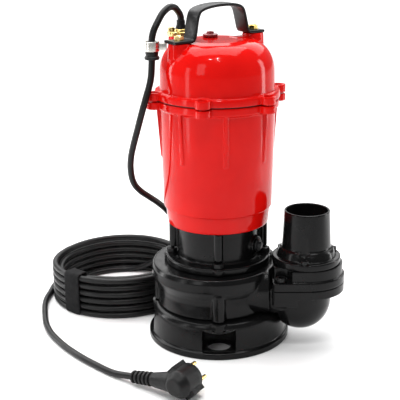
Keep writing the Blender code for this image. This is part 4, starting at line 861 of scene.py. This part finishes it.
def make_cover():
    low = COVER_LOW.z
    flange = low + COVER_FLANGE_T
    outline = cover_outline(0)
    fillet = [(COVER_WALL_R, flange + 14, 0), (COVER_WALL_R, flange, 2.2), (MOTOR_FLANGE_R + 1, flange, 1.6)]
    outline += rounded(fillet)[1:-1]
    outline += [
        (MOTOR_FLANGE_R + 1, flange - 1.8), (MOTOR_FLANGE_R + 1, low + 0.6), (MOTOR_FLANGE_R + 0.4, low),
        (0, low),
    ]
    cover = lathe("motor_dome", outline)
    for i in range(LUGS):
        angle = LUG_FIRST + 360 / LUGS * i
        foot = around(angle, LUG_PLACE_R, low + 0.2)
        join(cover, cylinder(f"cover_lug_{i}", LUG_R, COVER_FLANGE_T + 1.2, foot))
        recess = around(angle, LUG_PLACE_R, flange - 5.0)
        cut(cover, cylinder(f"recess_{i}", COVER_SCREW_R + 0.7, 12, recess))
    for side, top in zip((-1, 1), FOOT_TOPS):
        foot = FOOT * side
        join(
            cover,
            cylinder(
                f"handle_boss_{side}", 13.8, top - HANDLE_BOSS_FOOT, (foot.x, foot.y, HANDLE_BOSS_FOOT),
                steps=MEDIUM, top=12.8,
            ),
        )
    pad = box("right_pad", (24, -8, 350), (53, 8, FOOT_TOPS[1] - 3.6), 34.3)
    join(cover, pad)
    join(
        cover,
        cylinder(
            "gland_boss", 16.5, GLAND_LOW.z - GAP - GLAND_BOSS_FOOT, (GLAND.x, GLAND.y, GLAND_BOSS_FOOT),
            steps=MEDIUM, top=15.2,
        ),
    )
    cast(cover, 0.85, 4)
    inside = [*cover_outline(COVER_WALL), (COVER_WALL_R - COVER_WALL, low - 5), (0, low - 5)]
    cut(cover, lathe("cover_room", inside, MEDIUM))
    cut(cover, cylinder("gland_way", 7.0, 60, (GLAND.x, GLAND.y, 330)))
    cut(cover, cylinder("vent_way", 5.6, 60, (VENT.x, VENT.y, 340)))
    show(cover, "red_paint", ["motor_top_cover"])
    seat = flange - 5.0 + GAP
    for i in range(LUGS):
        at = around(LUG_FIRST + 360 / LUGS * i, LUG_PLACE_R)
        screw = socket_head(f"flange_screw_{i + 1}", COVER_SCREW_R, 4.0, seat, at, (3.0, flange - 17))
        show(screw, "red_paint", [f"cover_screw_{i + 1}"])


# ---------------------------------------------------------------- outlet


def plate_outline(inset, corner=3.5):
    """Square towards the pump, with eased corners, and half round on the far side."""
    half = PLATE_W / 2 - inset
    left = PLATE_LEFT_X + inset
    points = []
    for side, first in ((1, 90), (-1, 180)):
        for i in range(5):
            turn = math.radians(first + 90 * i / 4)
            x = left + corner + corner * math.cos(turn)
            points.append((x, TAIL.y + side * (half - corner) + corner * math.sin(turn)))
    for i in range(41):
        turn = math.radians(-90 + 180 * i / 40)
        points.append((TAIL.x + (PLATE_R - inset) * math.cos(turn), TAIL.y + half * math.sin(turn)))
    return points


def make_elbow():
    seam = ELBOW_HIGH.z
    elbow = prism("elbow_casting", plate_outline(0), PLATE_LOW, seam)
    rim = PLATE_LOW + 4
    bowl = [(0, rim), (BOWL_R + 0.8, rim), *arc(0, BOWL_Z, BOWL_R, 0, -90, 14)]
    bowl[-1] = (0, BOWL_Z - BOWL_R)
    join(elbow, lathe("elbow_bowl", bowl, MEDIUM, (ELBOW_X, TAIL.y)))
    face = ELBOW_LOW.x
    join(elbow, cylinder("elbow_inlet", 22.0, ELBOW_X - face, (face, TAIL.y, 68.5), (1, 0, 0), MEDIUM))
    join(
        elbow,
        cylinder("elbow_flange", NECK_R + 4, 26, (face, TAIL.y - 1, NECK_Z - 2), (1, 0, 0), MEDIUM, top=37),
    )
    cut(elbow, box("neck_room", (face - 5, -120, seam), (TAIL.x, 60, 140)))
    for i, side in enumerate((-1, 1)):
        pad = (PLATE_LEFT_X + 1, TAIL.y + side * (PLATE_W / 2 - 9) - 8.6, PLATE_LOW - 9)
        far = (PLATE_LEFT_X + 30, TAIL.y + side * (PLATE_W / 2 - 9) + 8.6, PLATE_LOW + 2)
        join(elbow, box(f"nut_pad_{i}", pad, far))
    cut(elbow, cylinder("stand_room", SKIRT_LOW_R + 2, STAND_HIGH.z + 2, (0, 0, 0), steps=FINE))
    inner = BOWL_R - BOWL_WALL
    hollow = [
        (0, seam + 5), (SEAT_R, seam + 5), (SEAT_R, rim), (inner, PLATE_LOW - 6),
        *arc(0, BOWL_Z, inner, 0, -90, 10),
    ]
    hollow[-1] = (0, BOWL_Z - inner)
    hollow = lathe("bowl_hollow", hollow, MEDIUM, (ELBOW_X, TAIL.y))
    wall = SKIRT_LOW_R + 2 + BOWL_WALL
    cut(hollow, cylinder("back_wall", wall, STAND_HIGH.z + 2 + BOWL_WALL, (0, 0, 0), steps=MEDIUM))
    cut(elbow, hollow, cylinder("elbow_bore", BORE_R, bore_run().length - 5, BORE_START, bore_run(), MEDIUM))
    for i, side in enumerate((-1, 1)):
        at = (BOLT_X, TAIL.y + side * BOLT_Y, PLATE_LOW - 14)
        cut(elbow, cylinder(f"nut_room_{i}", 7.8, 14.3, at))
    cast(elbow, 0.9, 4)
    show(elbow, "black_paint", ["discharge_elbow"])


def make_valve_cover():
    low, top = VALVE_LOW.z, VALVE_HIGH.z
    cover = prism("valve_chamber_casting", plate_outline(0), low, low + PLATE_T)
    body = prism("valve_body", plate_outline(2.6, 6), low + 4, top)
    join(cover, body)
    for i, side in enumerate((-1, 1)):
        y = TAIL.y + side * BOLT_Y
        near, far = sorted((y - side * 8.4, TAIL.y + side * (PLATE_W / 2 + 5)))
        cut(cover, box(f"pocket_{i}", (PLATE_LEFT_X - 10, near, low + PLATE_T), (BOLT_X + 9.4, far, top + 5)))
        cut(cover, cylinder(f"pocket_end_{i}", 9.0, 30, (BOLT_X + 5, y + side * 2, low + PLATE_T)))
        cut(cover, cylinder(f"bolt_hole_{i}", 4.4, 40, (BOLT_X, y, low - 5)))
    cut(cover, cylinder("valve_chamber", 36, 102.5 - low + 5, (TAIL.x + 2, TAIL.y, low - 5), steps=MEDIUM))
    cut(cover, box("hinge_room", (75.5, TAIL.y - 11.5, low - 5), (TAIL.x, TAIL.y + 11.5, 96.5)))
    cut(cover, cylinder("valve_mouth", 27.5, 20, (TAIL.x, TAIL.y, top - 10), steps=MEDIUM))
    cut(cover, cylinder("chamber_room", EAR_PLACE_R + EAR_R + 2, 40, (0, 0, VOLUTE_HIGH.z - 1), steps=FINE))
    cast(cover, 0.9, 4)
    show(cover, "black_paint", ["valve_cover"])
    seat = low + PLATE_T + GAP
    for i, side in enumerate((-1, 1)):
        at = (BOLT_X, TAIL.y + side * BOLT_Y)
        bolt = socket_head(f"valve_screw_{i + 1}", 6.2, 5.0, seat, at, (4.0, PLATE_LOW - 7))
        nut = hex_head(f"valve_nut_{i + 1}", 6.4, 5.0, PLATE_LOW - 5.3, at, 10)
        join(bolt, nut)
        show(bolt, "black_steel", [f"valve_bolt_{i + 1}"])


def make_hose_tail():
    low, top = TAIL_LOW.z, TAIL_HIGH.z
    flange = low + TAIL_FLANGE_T
    outline = [(TAIL_BORE_R, top, 0.7), (TAIL_MOUTH_R, top, 0.9), (TAIL_FOOT_R, TAIL_COLLAR_TOP, 2.0)]
    outline += [(TAIL_COLLAR_R, TAIL_COLLAR_TOP - 1.2, 1.6), (TAIL_COLLAR_R + 0.8, flange, 1.6)]
    outline += [(TAIL_FLANGE_R, flange, 1.6), (TAIL_FLANGE_R, low, 1.2), (TAIL_BORE_R, low, 0.5)]
    tail = lathe("hose_tail_casting", rounded(outline), at=TAIL)
    for i, angle in enumerate(TAIL_BOLT_ANGLES):
        at = TAIL + around(angle, TAIL_BOLT_PLACE_R, flange - 0.6)
        cut(tail, cylinder(f"scallop_{i}", 7.6, 30, at))
    wide = TAIL_COLLAR_R - 1
    for i, angle in enumerate(TAIL_BOLT_ANGLES):
        shoulder = TAIL + around(angle + 60, 4.2, flange - 0.3)
        join(
            tail,
            cylinder(f"lobe_{i}", wide, TAIL_COLLAR_TOP - flange - 3, shoulder, steps=MEDIUM, top=wide - 2),
        )
    bore = TAIL + Vector((0, 0, low - 5))
    cut(tail, cylinder("tail_bore", TAIL_BORE_R, top - low + 10, bore, steps=FINE))
    cast(tail, 0.8, 3)
    show(tail, "tail_paint", ["hose_tail"])
    for i, angle in enumerate(TAIL_BOLT_ANGLES):
        at = TAIL + around(angle, TAIL_BOLT_PLACE_R + 1.0)
        show(socket_head(f"tail_screw_{i + 1}", 4.6, 4.4, flange - 0.5, at), "black_steel")


# ---------------------------------------------------------------- handle, gland and clamp


def make_handle():
    """Strap swept along its line with rounded edges: foot, leg, top and back down."""
    left = FOOT_TOPS[0] + GAP + HANDLE_T / 2
    right = FOOT_TOPS[1] + GAP + HANDLE_T / 2
    top = HANDLE_HIGH.z - HANDLE_T / 2
    foot_bend = ((0.86, 0.0), (0.785, 0.2), (0.735, 1.6), (0.705, 5.0), (0.68, 10.5))
    line = [(-HANDLE_ENDS[0], left), (-1.0, left), *((-share, left + rise) for share, rise in foot_bend)]
    line += [
        (-0.64, top - 17), (-0.605, top - 10.5), (-0.56, top - 6.2), (-0.47, top - 3.6), (-0.34, top - 1.8),
    ]
    line += [(-0.17, top - 0.5), (0.0, top), (0.17, top), (0.34, top - 0.5), (0.47, top - 2.0)]
    line += [(0.56, top - 4.8), (0.61, top - 9.6), (0.645, top - 16.5)]
    line += [*((share, right + rise) for share, rise in foot_bend[::-1]), (1.0, right), (HANDLE_ENDS[1], right)]
    places = smooth_route([Vector((FOOT.x * share, FOOT.y * share, z)) for share, z in line], 5)
    across = Vector((-FOOT.y, FOOT.x, 0)).normalized()
    half_w, half_t, edge = HANDLE_W / 2, HANDLE_T / 2, 1.1
    section = []
    for sx, sy, first in ((1, 1, 0), (-1, 1, 90), (-1, -1, 180), (1, -1, 270)):
        for i in range(4):
            turn = math.radians(first + 30 * i)
            w = sx * (half_w - edge) + edge * math.cos(turn)
            section.append((w, sy * (half_t - edge) + edge * math.sin(turn)))
    bm = bmesh.new()
    rows = []
    for i, place in enumerate(places):
        ahead = places[min(i + 1, len(places) - 1)] - places[max(i - 1, 0)]
        out = ahead.normalized().cross(across)
        rows.append([bm.verts.new(place + across * w + out * t) for w, t in section])
    for row, following in zip(rows, rows[1:]):
        for i in range(len(section)):
            n = (i + 1) % len(section)
            bm.faces.new((row[i], row[n], following[n], following[i]))
    bm.faces.new(rows[0])
    bm.faces.new(rows[-1])
    bmesh.ops.recalc_face_normals(bm, faces=bm.faces)
    strap = mesh_object("strap_handle", bm)
    for side, top_z in zip((-1, 1), FOOT_TOPS):
        cut(strap, cylinder(f"stud_hole_{side}", 4.3, 20, (side * FOOT.x, side * FOOT.y, top_z - 5)))
    show(strap, "black_steel", ["handle"], angle=50)
    for i, (side, top_z) in enumerate(zip((-1, 1), FOOT_TOPS)):
        seat = top_z + HANDLE_T + 2 * GAP
        at = (side * FOOT.x, side * FOOT.y)
        nut = hex_head(f"handle_lock_nut_{i + 1}", 6.2, 4.6, seat, at, 12, (3.8, top_z - 7), (3.5, 1.4))
        show(nut, "brass", [f"handle_nut_{i + 1}"])


def make_vent():
    low = VENT_HIGH.z - 6.5
    outline = [(0, low + 6.5), (4.2, low + 6.5, 1.2), (4.8, low + 3.9, 1.0), (VENT_R, low + 3.2, 1.2)]
    outline += [(VENT_R, low, 0.4), (5, low, 0), (5, low - 8, 0.5), (0, low - 8)]
    vent = lathe("vent_screw", rounded(outline), MEDIUM, VENT)
    for turn in (20, 110):
        slot = box(f"slot_{turn}", (-3.4, -0.9, low + 4.6), (3.4, 0.9, low + 9))
        slot.matrix_world = Matrix.Translation((VENT.x, VENT.y, 0)) @ Matrix.Rotation(
            math.radians(turn), 4, "Z",
        )
        cut(vent, slot)
    for k in range(10):
        notch = VENT.xy.to_3d() + around(36 * k, VENT_R + 0.5, low - 1)
        cut(vent, cylinder(f"notch_{k}", 1.2, 8, notch, steps=12))
    show(vent, "vent", ["vent_plug"])


def make_gland():
    low, top = GLAND_LOW.z, GLAND_HIGH.z
    half = (GLAND_HIGH.y - GLAND_LOW.y) / 2
    straight = (GLAND_HIGH.x - GLAND_LOW.x) / 2 - half
    outline = []
    for side, first in ((1, -90), (-1, 90)):
        for i in range(25):
            turn = math.radians(first + 180 * i / 24)
            outline.append((GLAND.x + side * straight + half * math.cos(turn), GLAND.y + half * math.sin(turn)))
    plate = prism("gland_flange", outline, low, top)
    cut(plate, cylinder("plate_way", 6.9, 20, (GLAND.x, GLAND.y, low - 5)))
    show(bevelled(plate, 0.9, 3), "brass", ["gland_plate"])
    ring = rounded([(7.0, top + 3.0), (8.4, top + 3.0, 1.0), (9.2, top + 0.1, 0.4), (7.0, top + 0.1)])
    ring = lathe("gland_collar", ring, MEDIUM, GLAND)
    for side in (-1, 1):
        cut(ring, cylinder(f"screw_room_{side}", 4.6, 20, (GLAND.x + side * 11.5, GLAND.y, top - 2)))
    show(ring, "brass")
    for i, side in enumerate((-1, 1)):
        at = (GLAND.x + side * 11.5, GLAND.y)
        screw = hex_head(f"gland_bolt_{i + 1}", 4.2, 4.0, top + GAP, at, 20, (2.2, top - 11), (2.4, 0.8))
        show(screw, "brass", [f"gland_screw_{i + 1}"])
    sleeve_top = span("gland_bush")[1].z
    bore = CORD_D / 2 + GAP
    sleeve = [
        (bore, sleeve_top, 0.2), (bore + 0.7, sleeve_top, 0.4), (bore + 0.8, top + 8, 1.0),
        (6.6, top + 3.8, 0.6),
    ]
    sleeve += [(6.6, low - 16), (bore, low - 16)]
    show(lathe("gland_sleeve", rounded(sleeve), 48, GLAND), "rubber", ["gland_bush"])


def make_clamp():
    low, high = CLAMP_LOW.z - 0.8, CLAMP_HIGH.z + 2.8
    band = lathe(
        "clamp_band", rounded([(7.1, high, 0.4), (9.0, high, 0.6), (9.0, low, 0.6), (7.1, low, 0.4)]),
        MEDIUM, CLAMP,
    )
    middle = (low + high) / 2
    run = Vector((-FOOT.x, -FOOT.y, 0)) - CLAMP.xy.to_3d()
    heading = math.degrees(math.atan2(run.y, run.x))
    for side in (-1, 1):
        ear = box(
            f"clamp_ear_{side}", (7.6, side * 1.5 - 0.8, middle - 4.4),
            (17.5, side * 1.5 + 0.8, middle + 3.2),
        )
        ear.matrix_world = Matrix.Translation((CLAMP.x, CLAMP.y, 0)) @ Matrix.Rotation(
            math.radians(heading + 4), 4, "Z",
        )
        join(band, ear)
    show(bevelled(band, 0.25, 2), "zinc", ["cable_clamp"])
    neck, bore = 6.4, CORD_D / 2 + GAP
    low, high = GROMMET_LOW.z, GROMMET_HIGH.z
    outline = [
        (bore, high + 1.6), (neck, high + 1.6, 1.0), (neck, 367.4, 0.5), (8.0, 366.8, 1.4),
        (7.2, 362.4, 1.6),
    ]
    outline += [(9.0, 360.6, 1.2), (8.6, low, 1.0), (bore, low, 0.4)]
    show(lathe("grommet", rounded(outline), MEDIUM, CLAMP), "rubber", ["cable_grommet"])


# ---------------------------------------------------------------- cord and plug


def coil_place(angle, radius, z):
    turn = math.radians(angle)
    return Vector((COIL.x + radius * math.cos(turn), COIL.y + radius * math.sin(turn), z))


def coil_route():
    """The wound turns, by angle about the coil's middle, counter-clockwise from where the drop comes in.

    The cord dives inside the coil to the floor, climbs the inner column of rows, crosses outwards on the
    top row, comes down the outer column and leaves round the back. Each climb, drop and crossing has its
    own stretch of the circle, so no two turns meet.
    """
    inner, outer = COLUMN_R
    inside = inner - 8.2
    outside = outer + 8.4
    floor = CORD_D / 2 + 0.05
    top = floor + ROW_PITCH * (ROWS - 1)
    crossing = 2300.0
    leaving = 4260.0
    places = []
    angle = 14.0
    while angle <= 4490.0:
        radius = 91.6 + (inside - 91.6) * ease((angle - 2) / 34)
        radius += (inner - inside) * ease((angle - 260) / 60)
        radius += (outer - inner) * ease((angle - crossing) / 60)
        radius += (outside - outer) * ease((angle - leaving) / 60)
        z = 57.3 + (floor - 57.3) * ease((angle - 6) / 84)
        for climb in range(ROWS - 1):
            z += ROW_PITCH * ease((angle - 560 - 360 * climb) / 60)
            z -= ROW_PITCH * ease((angle - 2520 - 360 * climb) / 60)
        sway = 0.28 * math.sin(math.radians(angle * 2.0)) + 0.2 * math.sin(math.radians(angle * 5.0 + 40))
        places.append(coil_place(angle, radius + sway, min(z, top) if angle > 560 else z))
        angle += 15.0
    return places


def make_cord():
    drop = [Vector((GLAND.x, GLAND.y, GLAND_HIGH.z + 4)), *(Vector(p) for p in DROP_ROUTE)]
    lead = [Vector(p) for p in LEAD_ROUTE]
    route = [*drop, *coil_route(), *lead]
    curve = bpy.data.curves.new("power_cord", "CURVE")
    curve.dimensions = "3D"
    curve.bevel_depth = CORD_D / 2 * MM
    curve.bevel_resolution = 5
    curve.resolution_u = 5
    curve.use_fill_caps = True
    spline = curve.splines.new("BEZIER")
    spline.bezier_points.add(len(route) - 1)
    for point, place in zip(spline.bezier_points, route):
        point.co = TO_FRAME @ place
        point.handle_left_type = "AUTO"
        point.handle_right_type = "AUTO"
    cord = bpy.data.objects.new("power_cord", curve)
    bpy.context.scene.collection.objects.link(cord)
    curve.materials.append(MATERIALS["rubber"])
    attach(cord, "pump")
    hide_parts("cord_drop", "cord_coil", "cord_lead")
    return cord


def make_tie():
    """Webbing wrapped over the bundle, following its rounded top corners."""
    half = 1.1
    inner = COLUMN_R[0] - CORD_D / 2 - 0.6
    outer = COLUMN_R[1] + CORD_D / 2 + 0.5
    top = COIL_HIGH.z + 0.3
    path = [(outer + 0.2, 0.4), (outer + 0.9, 12), (outer + 0.7, 26), (outer + 0.8, 40)]
    path += arc(outer - 3.4, top - 3.0, 4.0, 0, 90, 5)
    path += arc(inner + 3.4, top - 3.0, 4.0, 90, 180, 5)
    path += [(inner - 0.8, 40), (inner - 0.6, 26), (inner - 0.8, 12), (inner - 0.2, 0.4)]
    bm = bmesh.new()
    rows = []
    steps = 10
    for k in range(steps + 1):
        along = (k / steps - 0.5) * TIE_W
        turn = TIE_ANGLE + math.degrees(along / COLUMN_R[1])
        row = []
        for i, (r, z) in enumerate(path):
            before, after = path[max(i - 1, 0)], path[min(i + 1, len(path) - 1)]
            run = Vector((after[0] - before[0], after[1] - before[1])).normalized()
            for side in (-1, 1):
                place = coil_place(turn, r + run.y * half * side, max(z - run.x * half * side, 0.1))
                row.append(bm.verts.new(place))
        rows.append(row)
    count = len(path)
    for row, following in zip(rows, rows[1:]):
        for i in range(count - 1):
            for side in (0, 1):
                a, b = 2 * i + side, 2 * (i + 1) + side
                bm.faces.new((row[a], row[b], following[b], following[a]))
        for a in (0, 2 * (count - 1)):
            bm.faces.new((row[a], row[a + 1], following[a + 1], following[a]))
    for row in (rows[0], rows[-1]):
        for i in range(count - 1):
            bm.faces.new((row[2 * i], row[2 * i + 1], row[2 * i + 3], row[2 * i + 2]))
    bmesh.ops.recalc_face_normals(bm, faces=bm.faces)
    tie = mesh_object("cord_tie", bm)
    step = tie.modifiers.new("soften", "SUBSURF")
    step.levels = step.render_levels = 1
    return show(tie, "tie", ["coil_tie"], angle=60)


def plug_directions():
    """Out along the pins, and across from one pin to the other."""
    heading = math.radians(PLUG_HEADING)
    out = Vector((math.cos(heading), math.sin(heading), 0))
    return out, Matrix.Rotation(math.radians(PLUG_ROLL), 3, out) @ Vector((0, 0, 1))


def make_plug():
    out, pin_line = plug_directions()
    back = PLUG_FRONT - out * PLUG_L
    outline = [
        (0, PLUG_L), (PLUG_R - 0.8, PLUG_L, 1.6), (PLUG_R, PLUG_L - 7, 3), (PLUG_R - 0.4, 9, 5),
        (PLUG_R - 7, 0, 4), (0, 0),
    ]
    body = lathe("plug_moulding", rounded(outline), MEDIUM, matrix=placed(back, out))
    across = pin_line.cross(out)
    for i, side in enumerate((-1, 1)):
        centre = PLUG_FRONT - out * 11.5 + pin_line * side * (PLUG_R - 0.8)
        axes = Matrix((across * 14.5, pin_line * 7.4, out * 21)).transposed().to_4x4()
        block = box(f"guide_{i}", (-0.5, -0.5, -0.5), (0.5, 0.5, 0.5))
        block.matrix_world = Matrix.Translation(centre) @ axes
        join(body, block)
        groove = box(f"groove_{i}", (-0.5, -0.5, -0.5), (0.5, 0.5, 0.5))
        axes = Matrix((across * 5.0, pin_line * 5, out * 19)).transposed().to_4x4()
        groove.matrix_world = Matrix.Translation(centre + pin_line * side * 4.0 + out * 3) @ axes
        cut(body, groove)
    end = Vector(LEAD_ROUTE[-1])
    root = back + out * 14
    run = end - root
    neck_l = run.length * 0.56
    heading = run.normalized()
    join(body, cylinder("plug_neck", 13.8, neck_l, root, run, MEDIUM, top=8.2))
    sleeve = [(0, 0), (7.6, 0)]
    sleeve_l = run.length - neck_l - 1.0
    ribs = 5
    for k in range(ribs):
        low = sleeve_l * (k + 0.25) / ribs
        high = sleeve_l * (k + 1) / ribs
        outer = 8.4 - 0.22 * k
        sleeve += [(outer - 2.4, low), (outer - 2.4, low + 1.0), (outer, low + 1.6), (outer, high - 0.4)]
    sleeve.append((0, sleeve_l))
    sleeve = sorted(sleeve[1:-1], key=lambda p: p[1])
    sleeve = [(0, sleeve_l), *sleeve[::-1], (0, 0)]
    join(body, lathe("plug_sleeve", sleeve, 40, matrix=placed(root + heading * neck_l, run)))
    for i, side in enumerate((-1, 1)):
        foot = PLUG_FRONT + pin_line * side * PIN_SPACING / 2
        cut(body, cylinder(f"pin_socket_{i}", PIN_R + 0.5, 20, foot - out * 6, out))
    cast(body, 0.45, 3)
    plug = show(body, "plug", ["plug_body"])
    pins = []
    for i, side in enumerate((-1, 1)):
        foot = PLUG_FRONT + pin_line * side * PIN_SPACING / 2 - out * 5.7
        length = PIN_L + 5.7
        outline = rounded([(0, length), (PIN_R, length, 1.3), (PIN_R, 0, 0.3), (0, 0)])
        pin = lathe(f"mains_pin_{i + 1}", outline, SMALL, matrix=placed(foot, out))
        pins.append(show(pin, "brass", [f"plug_pin_{i + 1}"]))
    return [plug, *pins]


# ---------------------------------------------------------------- CAD nodes that stay


def dress_cad_nodes():
    """Gives every CAD node that stays its slot's procedural finish."""
    slots = {part["node"]: part["material_slot"] for part in frame["record"]["subparts"]}
    for name, node in frame["nodes"].items():
        if node.hide_render:
            continue
        node.data.materials.clear()
        node.data.materials.append(MATERIALS[slots[name]])
        node.data.shade_smooth()
        node.data.set_sharp_from_angle(angle=math.radians(30))


set_camera()
MATERIALS = make_materials()
power_cord = make_cord()
tie = make_tie()
plug_pieces = make_plug()
make_stand()
make_volute()
make_chamber()
make_motor()
make_cover()
make_elbow()
make_valve_cover()
make_hose_tail()
make_handle()
make_vent()
make_gland()
make_clamp()
dress_cad_nodes()
set_floor()
set_light()
